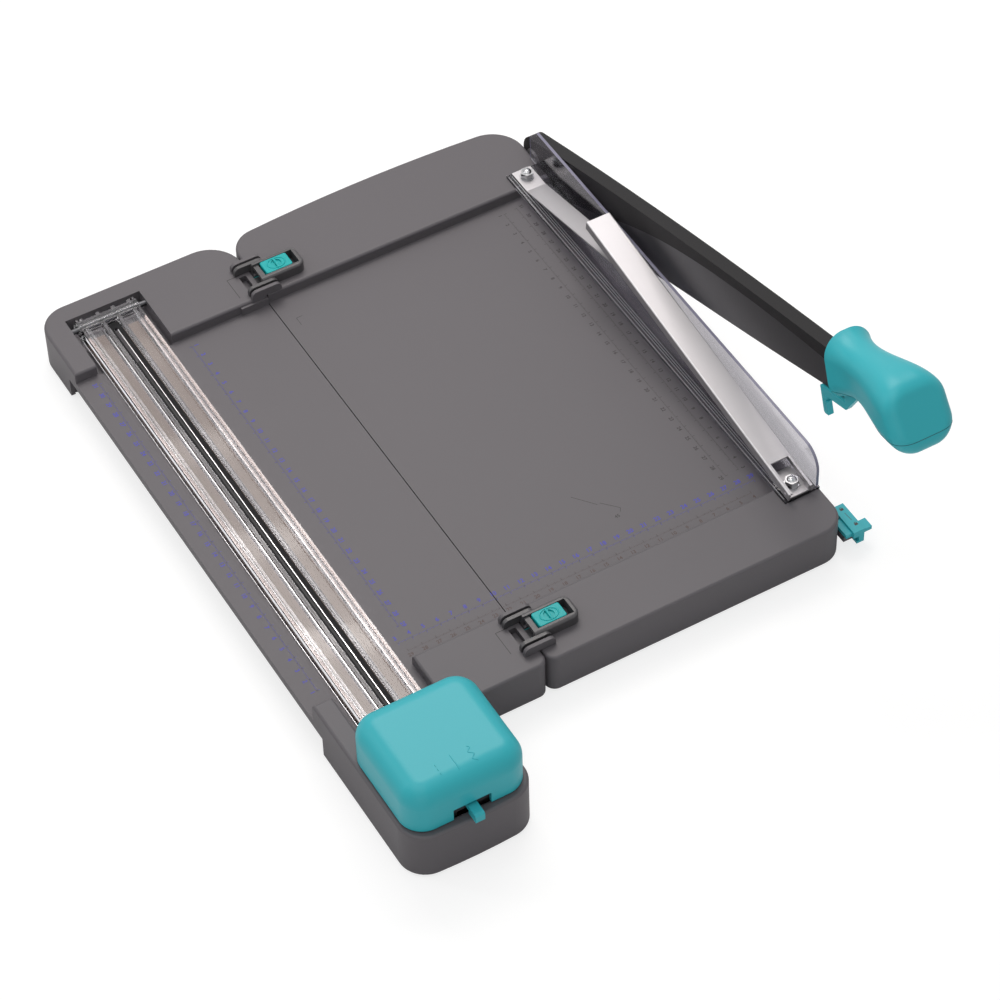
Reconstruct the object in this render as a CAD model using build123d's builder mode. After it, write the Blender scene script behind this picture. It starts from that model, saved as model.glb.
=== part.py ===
import os
from math import cos, radians, sin

from build123d import *

os.makedirs("parts", exist_ok=True)

# Heights above the table, in millimetres
foot_h = 2.0
bed_z = 24.0
bar_rise = 8.0
nose_rise = 14.0
wall = 3.0
slab = 6.5
rib_depth = 7.0
rib_thick = 2.0
bar_round = 2.0
bar_z = bed_z + bar_rise
nose_z = bed_z + nose_rise

# Plan of the two boards; the cut line of the trimmer is x = 0
nose_half = 43.4
nose_y = -54.3
nose_bow = 2.0
nose_corner = 18.0
nose_left_y = 68.0
channel_half = 29.5
channel_front_y = -48.5
seam_left = 99.0
seam_gap = 0.6
right_x = 318.0
front_y = 27.5
stop_y = 75.0
rear_bar_y = 395.5
left_back_y = 457.5
right_back_y = 455.0
back_bow = 5.0
back_left_round = 20.0
back_seam_round = 25.0
back_right_round = 25.0
seam_back_round = 19.0
seam_front_round = 7.0
front_right_round = 17.0
leg_front_y = 57.0
leg_rear_y = 407.0
left_x = -nose_half
seam_right = seam_left + seam_gap

# Fits
slide_gap = 0.3
run_gap = 0.05
seat_gap = 0.02

# Feet
foot_r = 6.5
foot_stem_r = 2.5
foot_stem_h = 5.0
left_feet_at = [(0.0, 0.0), (-36.0, 416.0), (80.0, 437.0), (66.0, 46.0)]
right_feet_at = [(140.0, 46.0), (298.0, 46.0), (140.0, 434.0), (296.0, 432.0)]

# Trimmer rail
rail_half = 23.2
rail_front_y = -45.0
rail_back_y = 440.0
rail_z = 25.2
rail_base = 2.3
rail_top_z = 32.5
edge_in = 20.0
fin_in = 17.5
fin_thick = 1.2
fin_z = 32.0
lip_reach = 1.2
lip_z = 30.8
ridge_in = 4.5
ridge_out = 7.0
slot_half = 1.6
slot_front_y = -36.0
slot_back_y = 424.0
hinge_y = 434.0
hinge_z = 29.0
hinge_pin_r = 2.0
hinge_block = 4.0
recess_half = 27.5
recess_back_y = 443.0
recess_z = 20.0
recess_wall = 4.0
rest_pad = 5.0
grip_in = 8.5
grip_out = 16.5
grip_thick = 0.8
grip_front_y = -20.0
grip_back_y = 424.0
strip_half = 4.0
strip_front_y = -40.0
strip_back_y = 392.0
strip_depth = 1.8

# Cutting head
head_half = 41.0
head_front_y = -51.3
head_back_y = 27.6
head_z = 39.0
head_top_z = 71.0
head_wall = 2.5
head_corner = 16.0
head_round = 13.0
notch_half = 12.8
notch_top_z = 48.0
plate_half = 36.0
plate_front_y = -47.5
plate_back_y = 23.0
plate_z = 39.6
plate_thick = 2.4
runner_in = 7.5
runner_out = 17.0
runner_neck = 15.8
runner_z = 27.8
runner_thick = 2.6
runner_front_y = -45.0
runner_back_y = 20.0
post_r = 3.6
post_at = [(-27.0, -33.0), (-27.0, 12.0), (27.0, 12.0)]
cover_screw_r = 1.5
cover_screw_head_r = 3.0
cover_screw_head_h = 1.4

# Blade turret, turning about an axis along x
turret_y = -12.0
cut_gap = 0.1
turret_reach = 20.0
wheel_r = 8.0
wheel_thick = 0.6
wheel_hub_r = 2.4
wheel_hub_half = 1.2
wheel_pin_r = 1.0
arm_end_r = 3.0
spider_half = 3.8
spider_gap_half = 1.5
spider_hub_r = 3.2
barrel_r = 7.0
barrel_end_x = 28.8
axle_r = 1.5
groove_r = 1.75
groove_pitch = 24.0
groove_mid_x = 18.0
upright_thick = 3.0
upright_half = 6.0
turret_z = bed_z + cut_gap + turret_reach
wheel_at = turret_reach - wheel_r
plate_top_z = plate_z + plate_thick

# Selector
tab_half = 3.2
tab_front_y = -60.5
tab_back_y = -52.0
tab_z = 39.5
tab_top_z = 46.0
selector_z = 42.4
selector_bar_y = -47.3
selector_bar_depth = 3.8
selector_bar_left_x = -12.0
follower_half = 2.0
follower_r = 1.4
selector_travel = 8.0

# Latches across the seam
latch_at = [("rear", 411.4), ("front", 54.3)]
latch_half = 9.5
latch_rise = 8.0
latch_end_x = 132.5
latch_pocket_x = 104.0
latch_pocket_end_x = 129.0
latch_pocket_half = 6.3
latch_wall_x = 99.8
cross_bar_x = 100.5
cross_bar_rise = 4.0
cross_bar_thick = 2.5
ear_left_x = 88.0
ear_right_x = 110.0
ear_rise = 6.5
ear_round = 4.0
ear_thick = 2.5
inner_ear_mid = 10.7
outer_ear_mid = 15.2
button_x = 105.0
button_end_x = 124.5
button_half = 6.0
button_lift = 1.2
button_rise = 8.2
dimple_r = 3.6
dimple_depth = 0.9
stem_x = 109.0
stem_end_x = 115.0
stem_half = 3.0
tongue_tip_x = 95.2
tongue_half = 4.0
tongue_z = 27.5
tongue_thick = 3.0
keeper_x = 82.0
keeper_half = 9.5
keeper_drop = 6.0
pit_x = 90.0
pit_end_x = 95.0
pit_half = 7.5
latch_travel = 4.0

# Guillotine
cut_x = 320.0
ledger_front_y = 74.0
ledger_back_y = 392.0
ledger_z = 8.0
ledger_screw_ys = [100.0, 170.0, 240.0, 310.0, 375.0]
ledger_screw_z = 15.0
ledger_screw_r = 1.5
ledger_head_r = 3.0
ledger_screw_len = 10.0
guard_x = 291.5
guard_right_x = 317.5
guard_front_y = 60.5
guard_back_y = 409.0
guard_thick = 2.0
guard_wall_front_y = 62.0
guard_wall_back_y = 418.0
guard_top_z = 62.0
guard_rear_z = 52.0
guard_round = 15.0
guard_groove = 0.5

# Hand clamp
clamp_mid_x = 302.7
plate_w = 18.3
plate_sheet = 1.2
plate_lip = 6.4
plate_rise = 2.9
plate_rear = 245.3
plate_front = 4.0
plate_slope = 7.8
window_half = 6.6
window_rear = 22.0
clamp_hinge_y = 64.0
clamp_hinge_lift = 3.0
clamp_pin_r = 1.4
bracket_sheet = 1.2
bracket_back_y = 84.0
bracket_ear_r = 2.6
leaf_w = 14.6
leaf_thick = 1.0
leaf_foot_y = 388.0
leaf_back_y = 408.5
leaf_len = 135.0
leaf_slope = 13.0
rear_bolt_y = 400.5
front_bolt_y = 70.5
bolt_r = 2.5
bolt_hole_gap = 0.1
bolt_boss_r = 5.5
washer_r = 5.0
washer_thick = 0.8
nut_r = 4.6
nut_h = 4.0
dome_r = 3.7
bolt_foot_z = 20.0

# Arm, in its own frame: along the arm from the pivot, and upwards from it
pivot_y = 418.0
pivot_z = 28.0
arm_angle = 17.7
blade_in_x = 320.05
blade_thick = 2.45
arm_thick = 7.5
arm_len = 388.6
arm_tail_r = 16.8
arm_crest = 18.8
arm_crest_at = 150.0
arm_top = 12.4
arm_low = -10.0
arm_bore_r = 4.05
seat_rise = 0.1
pivot_shank_r = 4.0
pivot_thread_r = 3.0
pivot_head_r = 8.0
pivot_head_h = 4.5
pivot_washer_r = 9.0
spring_washer_h = 1.5
pivot_boss_x = 303.0
tang_len = 46.0
tang_thick = 5.0
tang_low = -6.0
tang_high = 9.0
blade_screw_back = 58.6
blade_screws_at = [(80.0, -13.4), (150.0, -7.0), (240.0, -3.0), (arm_len - blade_screw_back, -4.0)]
blade_screw_r = 1.5
blade_screw_head_r = 3.2
blade_screw_head_h = 2.0

# Handle: rounded sections along the arm, the last one leaning back
handle_x = 326.0
handle_gap = 0.4
handle_start = arm_len + handle_gap
start_rise = 7.8
start_half_w = 17.0
start_half_h = 23.0
start_r = 15.0
neck_run = 33.0
neck_rise = 7.8
neck_half_w = 15.3
neck_half_h = 19.0
neck_r = 14.0
swell_run = 63.0
swell_rise = 4.5
swell_half_w = 21.5
swell_half_h = 22.5
swell_r = 17.0
tip_run = 81.0
tip_rise = 1.0
tip_half_w = 20.5
tip_half_h = 20.0
tip_r = 14.0
tip_lean = 20.0
tip_round = 9.0
parting = -7.5
handle_screws_at = [handle_start + 53.0, handle_start + 68.0]
handle_screw_r = 1.5
handle_screw_head_r = 3.0
handle_screw_head_h = 2.0
handle_screw_sink = 4.0

# Fin under the handle, hooked so that the lock can hold it
fin_x = 318.6
fin_w = 4.0
fin_back = 28.0
fin_front = 16.0
fin_top = -18.5
fin_root = -9.0
fin_heel = -24.4
fin_toe_len = 5.0
fin_low = -39.0
fin_barb = -29.2
fin_throat_len = 1.2
fin_round = 2.0

# Lock at the front right corner
lock_plate_end_x = 327.0
lock_plate_y = 32.0
lock_plate_end_y = 50.0
lock_plate_z = 8.0
lock_plate_thick = 4.0
lock_y = 28.0
lock_end_y = 53.0
lock_in_x = 323.0
lock_out_x = 331.0
lock_top_z = 17.5
lock_low_z = 6.0
lock_tongue_x = 338.0
lock_tongue_y = 30.0
lock_tongue_end_y = 38.0
lock_tongue_z = 11.0
lock_tongue_h = 3.0
lock_catch_x = 318.5
lock_catch_end_y = 44.0
lock_catch_z = 12.6
lock_catch_h = 2.9

tall = 200.0


def block(x0, x1, y0, y1, z0, z1, mode=Mode.ADD):
    with Locations(((x0 + x1) / 2, (y0 + y1) / 2, (z0 + z1) / 2)):
        Box(x1 - x0, y1 - y0, z1 - z0, mode=mode)


def rod(x, y, z0, z1, radius, mode=Mode.ADD):
    with Locations((x, y, (z0 + z1) / 2)):
        Cylinder(radius, z1 - z0, mode=mode)


def cross_rod(x0, x1, y, z, radius, mode=Mode.ADD):
    with Locations(Location(((x0 + x1) / 2, y, z), (0, 90, 0))):
        Cylinder(radius, x1 - x0, mode=mode)


def upright(y):
    return Plane(origin=(0, y, 0), x_dir=(1, 0, 0), z_dir=(0, -1, 0))


def arm_plane(x):
    a = radians(arm_angle)
    return Plane(origin=(x, pivot_y, pivot_z), x_dir=(0, -cos(a), sin(a)), z_dir=(-1, 0, 0))


def arm_section(along, up, lean=0.0):
    place = arm_plane(handle_x).from_local_coords((along, up, 0))
    a = radians(arm_angle + lean)
    return Plane(origin=place, x_dir=(1, 0, 0), z_dir=(0, -cos(a), sin(a)))


# Plans shared by the boards and their hollows
with BuildSketch() as left_plan:
    with BuildLine():
        Polyline(
            (left_x, nose_y),
            (left_x, left_back_y),
            (seam_left, left_back_y),
            (seam_left, front_y),
            (nose_half, front_y),
            (nose_half, nose_y),
        )
        ThreePointArc((nose_half, nose_y), (0, nose_y - nose_bow), (left_x, nose_y))
    make_face()
    fillet(left_plan.vertices().sort_by_distance((left_x, left_back_y))[0], back_left_round)
    fillet(left_plan.vertices().sort_by_distance((seam_left, left_back_y))[0], back_seam_round)
    fillet(left_plan.vertices().sort_by_distance((seam_left, front_y))[0], seam_front_round)
    fillet(left_plan.vertices().sort_by_distance((left_x, nose_y))[0], nose_corner)
    fillet(left_plan.vertices().sort_by_distance((nose_half, nose_y))[0], nose_corner)

with BuildSketch() as left_inside:
    add(left_plan.sketch)
    offset(amount=-wall)

with BuildSketch() as right_plan:
    with BuildLine():
        Polyline(
            (seam_right, right_back_y),
            (seam_right, front_y),
            (right_x, front_y),
            (right_x, right_back_y),
        )
        ThreePointArc(
            (right_x, right_back_y),
            ((seam_right + right_x) / 2, right_back_y + back_bow),
            (seam_right, right_back_y),
        )
    make_face()
    fillet(right_plan.vertices().sort_by_distance((seam_right, right_back_y))[0], seam_back_round)
    fillet(right_plan.vertices().sort_by_distance((right_x, right_back_y))[0], back_right_round)
    fillet(right_plan.vertices().sort_by_distance((right_x, front_y))[0], front_right_round)
    fillet(right_plan.vertices().sort_by_distance((seam_right, front_y))[0], seam_front_round)

with BuildSketch() as right_inside:
    add(right_plan.sketch)
    offset(amount=-wall)

# Left board: bed, bars and nose in one moulding, hollow from below
with BuildPart() as left_base:
    with BuildSketch(Plane.XY.offset(foot_h)):
        add(left_plan.sketch)
    extrude(amount=bed_z - foot_h)
    with BuildSketch(Plane.XY.offset(bed_z)):
        add(left_plan.sketch)
        with Locations((0, rear_bar_y)):
            Rectangle(tall * 3, tall, align=(Align.CENTER, Align.MIN), mode=Mode.INTERSECT)
    extrude(amount=bar_rise)
    with BuildSketch(Plane.XY.offset(bed_z)):
        add(left_plan.sketch)
        with Locations((channel_half, front_y)):
            Rectangle(tall, stop_y - front_y, align=(Align.MIN, Align.MIN), mode=Mode.INTERSECT)
    extrude(amount=bar_rise)
    fillet(left_base.faces().filter_by_position(Axis.Z, bar_z, bar_z).edges(), bar_round)
    with BuildSketch(Plane.XY.offset(bed_z)) as nose_ring:
        add(left_plan.sketch)
        with Locations((0, nose_left_y)):
            Rectangle(2 * nose_half, tall, align=(Align.CENTER, Align.MAX), mode=Mode.INTERSECT)
        with Locations((0, channel_front_y)):
            Rectangle(2 * channel_half, tall, align=(Align.CENTER, Align.MIN), mode=Mode.SUBTRACT)
        with Locations((channel_half, front_y)):
            Rectangle(tall, tall, align=(Align.MIN, Align.MIN), mode=Mode.SUBTRACT)
    extrude(amount=nose_rise)
    fillet(left_base.faces().filter_by_position(Axis.Z, nose_z, nose_z).edges(), bar_round)
    with BuildSketch(Plane.XY.offset(foot_h)):
        add(left_inside.sketch)
    extrude(amount=bed_z - wall - foot_h, mode=Mode.SUBTRACT)
    with BuildSketch(Plane.XY.offset(bed_z - wall)):
        add(left_inside.sketch)
        with Locations((0, rear_bar_y + wall)):
            Rectangle(tall * 3, tall, align=(Align.CENTER, Align.MIN), mode=Mode.INTERSECT)
    extrude(amount=bar_rise, mode=Mode.SUBTRACT)
    with BuildSketch(Plane.XY.offset(bed_z - wall)):
        add(left_inside.sketch)
        with Locations((nose_half + wall, front_y)):
            Rectangle(tall, stop_y - front_y - wall, align=(Align.MIN, Align.MIN), mode=Mode.INTERSECT)
    extrude(amount=bar_rise, mode=Mode.SUBTRACT)
    with BuildSketch(Plane.XY.offset(bed_z - wall - rib_depth)):
        with Locations(*[(20, stop_y + 60 * i) for i in range(6)]):
            Rectangle(tall, rib_thick)
        with Locations((-18, 230), (20, 230), (60, 230)):
            Rectangle(rib_thick, tall * 1.6)
        add(left_inside.sketch, mode=Mode.INTERSECT)
    extrude(amount=rib_depth + wall / 2)
    block(left_x - 1, left_x + wall + 1, leg_front_y, leg_rear_y, 0, bed_z - slab, Mode.SUBTRACT)
    recess_side = recess_half + recess_wall
    block(-recess_side, recess_side, rear_bar_y + 1, recess_back_y + wall, recess_z - wall, bar_z - 1)
    block(-recess_half, recess_half, rear_bar_y - 1, recess_back_y, recess_z, bar_z + 1, Mode.SUBTRACT)
    pin_reach = recess_half + recess_wall - 0.5
    cross_rod(-pin_reach, pin_reach, hinge_y, hinge_z, hinge_pin_r + seat_gap, Mode.SUBTRACT)
    groove_half = strip_half + seat_gap
    block(
        -groove_half, groove_half, strip_front_y, strip_back_y, bed_z - strip_depth, bed_z + 1, Mode.SUBTRACT
    )
    pad_y = rail_front_y - 1
    block(grip_in, edge_in, pad_y, pad_y + rest_pad, bed_z - 1, rail_z)
    block(-edge_in, -grip_in, pad_y, pad_y + rest_pad, bed_z - 1, rail_z)
    for name, y in latch_at:
        reach = outer_ear_mid + ear_thick
        block(keeper_x - wall, seam_left, y - reach, y + reach, bed_z - wall, bar_z - bar_round)
        block(
            keeper_x,
            seam_left + 1,
            y - keeper_half,
            y + keeper_half,
            bar_z - keeper_drop,
            bar_z + 1,
            Mode.SUBTRACT,
        )
        for side in (-1, 1):
            with BuildSketch(upright(y + side * outer_ear_mid)) as ear:
                with Locations((ear_left_x, bar_z + slide_gap)):
                    Rectangle(ear_right_x - ear_left_x, ear_rise - slide_gap, align=(Align.MIN, Align.MIN))
                fillet(ear.vertices().group_by(Axis.Y)[-1], ear_round)
                with Locations((ear_left_x, bar_z - bar_round - 1)):
                    Rectangle(
                        seam_left - bar_round - ear_left_x, bar_round + 2, align=(Align.MIN, Align.MIN)
                    )
            extrude(amount=ear_thick / 2, both=True)
    for x, y in left_feet_at:
        rod(x, y, foot_h, (bed_z if y < front_y else bar_z) - wall + 1, foot_r + 0.6)
        rod(x, y, foot_h, foot_h + foot_stem_h, foot_stem_r + seat_gap, Mode.SUBTRACT)

# Right board
with BuildPart() as right_base:
    with BuildSketch(Plane.XY.offset(foot_h)):
        add(right_plan.sketch)
    extrude(amount=bed_z - foot_h)
    with BuildSketch(Plane.XY.offset(bed_z)):
        add(right_plan.sketch)
        with Locations((0, stop_y)):
            Rectangle(tall * 4, rear_bar_y - stop_y, align=(Align.CENTER, Align.MIN), mode=Mode.SUBTRACT)
    extrude(amount=bar_rise)
    fillet(right_base.faces().filter_by_position(Axis.Z, bar_z, bar_z).edges(), bar_round)
    with BuildSketch(Plane.XY.offset(foot_h)):
        add(right_inside.sketch)
    extrude(amount=bed_z - wall - foot_h, mode=Mode.SUBTRACT)
    with BuildSketch(Plane.XY.offset(bed_z - wall)):
        add(right_inside.sketch)
        with Locations((0, stop_y - wall)):
            Rectangle(
                tall * 4, rear_bar_y - stop_y + 2 * wall, align=(Align.CENTER, Align.MIN), mode=Mode.SUBTRACT
            )
    extrude(amount=bar_rise, mode=Mode.SUBTRACT)
    with BuildSketch(Plane.XY.offset(bed_z - wall - rib_depth)):
        with Locations(*[(208, stop_y + 62 * i) for i in range(6)]):
            Rectangle(tall * 1.3, rib_thick)
        with Locations((150, 235), (205, 235), (260, 235)):
            Rectangle(rib_thick, tall * 1.6)
        add(right_inside.sketch, mode=Mode.INTERSECT)
    extrude(amount=rib_depth + wall / 2)
    for y in ledger_screw_ys:
        cross_rod(right_x - ledger_screw_len - 1, right_x - 1, y, ledger_screw_z, ledger_head_r + 1)
        cross_rod(
            right_x - ledger_screw_len,
            right_x + 1,
            y,
            ledger_screw_z,
            ledger_screw_r + seat_gap,
            Mode.SUBTRACT,
        )
    block(pivot_boss_x, right_x - 1, pivot_y - 9, pivot_y + 9, bed_z - wall - 4, bar_z - bar_round)
    cross_rod(pivot_boss_x + 1, right_x + 1, pivot_y, pivot_z, pivot_thread_r + seat_gap, Mode.SUBTRACT)
    for y in (rear_bolt_y, front_bolt_y):
        rod(clamp_mid_x, y, bolt_foot_z - 1, bar_z - bar_round, bolt_boss_r)
        rod(clamp_mid_x, y, bolt_foot_z, bar_z + 1, bolt_r + bolt_hole_gap, Mode.SUBTRACT)
    for name, y in latch_at:
        slot_end = stem_end_x + latch_travel + slide_gap
        slot_side = tongue_half + slide_gap
        block(
            seam_right - 1,
            slot_end,
            y - slot_side,
            y + slot_side,
            tongue_z - slide_gap,
            bar_z + 1,
            Mode.SUBTRACT,
        )
    for x, y in right_feet_at:
        rod(x, y, foot_h, (bed_z if y < front_y else bar_z) - wall + 1, foot_r + 0.6)
        rod(x, y, foot_h, foot_h + foot_stem_h, foot_stem_r + seat_gap, Mode.SUBTRACT)

with BuildPart() as left_feet:
    for x, y in left_feet_at:
        rod(x, y, 0, foot_h, foot_r)
        rod(x, y, foot_h - 0.5, foot_h + foot_stem_h - 0.5, foot_stem_r)

with BuildPart() as right_feet:
    for x, y in right_feet_at:
        rod(x, y, 0, foot_h, foot_r)
        rod(x, y, foot_h - 0.5, foot_h + foot_stem_h - 0.5, foot_stem_r)

# Trimmer rail: one half section, mirrored, joined at both ends of the slot
with BuildPart() as trimmer_rail:
    with BuildSketch(upright(rail_front_y)) as section:
        with BuildLine():
            Polyline(
                (slot_half, rail_z),
                (rail_half, rail_z),
                (rail_half, rail_z + rail_base),
                (edge_in + 1.4, rail_top_z),
                (edge_in, rail_top_z),
                (edge_in, rail_z + rail_base),
                (fin_in + fin_thick, rail_z + rail_base),
                (fin_in + fin_thick, fin_z),
                (fin_in - lip_reach, fin_z),
                (fin_in - lip_reach, lip_z),
                (fin_in, lip_z),
                (fin_in, rail_z + rail_base),
                (ridge_out, rail_z + rail_base),
                (ridge_out, fin_z),
                (ridge_in, fin_z),
                (ridge_in, rail_z + rail_base),
                (slot_half, rail_z + rail_base),
                close=True,
            )
        make_face()
        mirror(about=Plane.YZ)
    extrude(amount=rail_front_y - rail_back_y)
    block(-slot_half - 1, slot_half + 1, rail_front_y, slot_front_y, rail_z, rail_z + rail_base)
    block(-slot_half - 1, slot_half + 1, slot_back_y, rail_back_y, rail_z, rail_z + rail_base)
    block(-rail_half + 1, rail_half - 1, hinge_y - hinge_block, hinge_y + hinge_block, rail_z, fin_z)
    cross_rod(-rail_half - 1, rail_half + 1, hinge_y, hinge_z, hinge_pin_r + run_gap, Mode.SUBTRACT)

with BuildPart() as grip_strips:
    block(grip_in, grip_out, grip_front_y, grip_back_y, rail_z - grip_thick, rail_z)
    block(-grip_out, -grip_in, grip_front_y, grip_back_y, rail_z - grip_thick, rail_z)

with BuildPart() as cutting_strip:
    block(
        -strip_half,
        strip_half,
        strip_front_y + seat_gap,
        strip_back_y - seat_gap,
        bed_z - strip_depth,
        bed_z,
    )

with BuildPart() as rail_hinge_pin:
    cross_rod(-pin_reach + 0.2, pin_reach - 0.2, hinge_y, hinge_z, hinge_pin_r)

# Head cover: a rounded shell, open below, with a notch for the selector in front
with BuildPart() as head_cover:
    with BuildSketch(Plane.XY.offset(head_z)):
        with Locations((0, (head_front_y + head_back_y) / 2)):
            RectangleRounded(2 * head_half, head_back_y - head_front_y, head_corner)
    extrude(amount=head_top_z - head_z)
    fillet(head_cover.faces().sort_by(Axis.Z)[-1].edges(), head_round)
    offset(amount=-head_wall, openings=head_cover.faces().sort_by(Axis.Z)[0])
    block(
        -notch_half,
        notch_half,
        head_front_y - 1,
        head_front_y + head_wall + 1,
        head_z - 1,
        notch_top_z,
        Mode.SUBTRACT,
    )
    for x, y in post_at:
        rod(x, y, head_top_z - head_wall - 6, head_top_z - 1, post_r)
        rod(
            x,
            y,
            head_top_z - head_wall - 7,
            head_top_z - head_wall - 1,
            cover_screw_r + seat_gap,
            Mode.SUBTRACT,
        )

# Carriage: plate on two captured runners, with bearings for the turret
with BuildPart() as carriage:
    with BuildSketch(Plane.XY.offset(plate_z)):
        with Locations((0, (plate_front_y + plate_back_y) / 2)):
            RectangleRounded(2 * plate_half, plate_back_y - plate_front_y, head_corner - head_wall)
    extrude(amount=plate_thick)
    with BuildSketch(upright(runner_front_y)) as runners:
        with BuildLine():
            Polyline(
                (runner_in, runner_z),
                (runner_out, runner_z),
                (runner_out, runner_z + runner_thick),
                (runner_neck, runner_z + runner_thick),
                (runner_neck, plate_z + 1),
                (runner_in, plate_z + 1),
                close=True,
            )
        make_face()
        mirror(about=Plane.YZ)
    extrude(amount=runner_front_y - runner_back_y)
    sweep_r = turret_reach + 1.5
    open_half = spider_half + 0.4
    block(
        -open_half,
        open_half,
        turret_y - sweep_r,
        turret_y + sweep_r,
        plate_z - 1,
        plate_top_z + 1,
        Mode.SUBTRACT,
    )
    upright_top = turret_z + upright_half
    left_stand = -open_half - upright_thick
    right_stand = barrel_end_x + 0.5
    block(left_stand, -open_half, turret_y - upright_half, turret_y + upright_half, plate_z, upright_top)
    block(
        right_stand,
        right_stand + upright_thick,
        turret_y - upright_half,
        turret_y + upright_half,
        plate_z,
        upright_top,
    )
    cross_rod(open_half, right_stand, turret_y, turret_z, barrel_r + 1.2, Mode.SUBTRACT)
    cross_rod(
        left_stand - 1, right_stand + upright_thick + 1, turret_y, turret_z, axle_r + seat_gap, Mode.SUBTRACT
    )
    guide_y = selector_bar_y + selector_bar_depth + slide_gap
    block(-24, groove_mid_x - follower_half - selector_travel - 1, guide_y, guide_y + 2, plate_z, tab_top_z)
    for x, y in post_at:
        rod(x, y, plate_z, head_top_z - head_wall - 6, post_r)
        rod(x, y, plate_z - 1, head_top_z, cover_screw_r + seat_gap, Mode.SUBTRACT)
        rod(x, y, plate_z - 1, plate_z + cover_screw_head_h, cover_screw_head_r + seat_gap, Mode.SUBTRACT)

with BuildPart() as cover_screws:
    for x, y in post_at:
        rod(x, y, plate_z + 0.1, plate_z + cover_screw_head_h, cover_screw_head_r)
        rod(x, y, plate_z + 0.5, head_top_z - head_wall - 2, cover_screw_r)

# Turret: three-armed fork and a barrel with a helical groove on one axis
wheel_angles = [90.0, 210.0, 330.0]
turret_plane = Plane(origin=(0, turret_y, turret_z), x_dir=(0, -1, 0), z_dir=(1, 0, 0))
groove_start = groove_mid_x - groove_pitch / 2
groove_plane = Plane(origin=(groove_start, turret_y, turret_z), x_dir=(0, 1, 0), z_dir=(1, 0, 0))
with BuildLine() as groove:
    Helix(groove_pitch, groove_pitch * 0.93, barrel_r, lefthand=True)
groove_path = groove_plane.location * groove.edges()[0]
with BuildPart() as blade_turret:
    with BuildSketch(turret_plane) as star:
        for angle in wheel_angles:
            with Locations(Rotation(0, 0, angle)):
                SlotCenterPoint((wheel_at / 2, 0), (wheel_at, 0), 2 * arm_end_r)
        Circle(barrel_r)
    extrude(amount=spider_half, both=True)
    with BuildSketch(turret_plane) as clear:
        Circle(turret_reach + 1)
        Circle(spider_hub_r, mode=Mode.SUBTRACT)
    extrude(amount=spider_gap_half, both=True, mode=Mode.SUBTRACT)
    cross_rod(spider_half - 0.5, barrel_end_x, turret_y, turret_z, barrel_r)
    with BuildSketch(Plane(origin=groove_path @ 0, z_dir=groove_path % 0)):
        Circle(groove_r)
    sweep(path=groove_path, is_frenet=True, mode=Mode.SUBTRACT)
    cross_rod(-spider_half - 1, barrel_end_x + 1, turret_y, turret_z, axle_r + run_gap, Mode.SUBTRACT)
    with BuildSketch(turret_plane.offset(-spider_half - 1)):
        with PolarLocations(wheel_at, 3, start_angle=wheel_angles[0]):
            Circle(wheel_pin_r + seat_gap)
    extrude(amount=2 * spider_half + 2, mode=Mode.SUBTRACT)

with BuildPart() as turret_axle:
    cross_rod(left_stand + 0.2, right_stand + upright_thick - 0.2, turret_y, turret_z, axle_r)

with BuildPart() as wheel_pins:
    with BuildSketch(turret_plane.offset(-spider_half + 0.1)):
        with PolarLocations(wheel_at, 3, start_angle=wheel_angles[0]):
            Circle(wheel_pin_r)
    extrude(amount=2 * spider_half - 0.2)


def wheel_plane(number):
    a = radians(wheel_angles[number])
    spot = turret_plane.from_local_coords((wheel_at * cos(a), wheel_at * sin(a), 0))
    return Plane(origin=spot, x_dir=(0, -1, 0), z_dir=(1, 0, 0))


with BuildPart() as straight_wheel:
    with BuildSketch(wheel_plane(0)):
        Circle(wheel_r)
    extrude(amount=wheel_thick / 2, both=True)
    with BuildSketch(wheel_plane(0)):
        Circle(wheel_hub_r)
    extrude(amount=wheel_hub_half, both=True)
    with BuildSketch(wheel_plane(0)):
        Circle(wheel_pin_r + run_gap)
    extrude(amount=wheel_hub_half + 1, both=True, mode=Mode.SUBTRACT)

with BuildPart() as perforating_wheel:
    with BuildSketch(wheel_plane(1)):
        Circle(wheel_r)
        with PolarLocations(wheel_r, 12):
            Rectangle(1.6, 1.4, mode=Mode.SUBTRACT)
    extrude(amount=wheel_thick / 2, both=True)
    with BuildSketch(wheel_plane(1)):
        Circle(wheel_hub_r)
    extrude(amount=wheel_hub_half, both=True)
    with BuildSketch(wheel_plane(1)):
        Circle(wheel_pin_r + run_gap)
    extrude(amount=wheel_hub_half + 1, both=True, mode=Mode.SUBTRACT)

# The wavy wheel steps from side to side round its rim
wave_half = 0.9
with BuildPart() as wavy_wheel:
    with BuildSketch(wheel_plane(2)):
        Circle(wheel_r)
    extrude(amount=wave_half, both=True)
    with BuildSketch(wheel_plane(2).offset(wave_half)):
        with PolarLocations(wheel_r - 1, 6):
            Rectangle(4, 4.2)
    extrude(amount=-wave_half * 1.2, mode=Mode.SUBTRACT)
    with BuildSketch(wheel_plane(2).offset(-wave_half)):
        with PolarLocations(wheel_r - 1, 6, start_angle=30):
            Rectangle(4, 4.2)
    extrude(amount=wave_half * 1.2, mode=Mode.SUBTRACT)
    with BuildSketch(wheel_plane(2)):
        Circle(wheel_hub_r)
    extrude(amount=wheel_hub_half, both=True)
    with BuildSketch(wheel_plane(2)):
        Circle(wheel_pin_r + run_gap)
    extrude(amount=wheel_hub_half + 1, both=True, mode=Mode.SUBTRACT)

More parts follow.
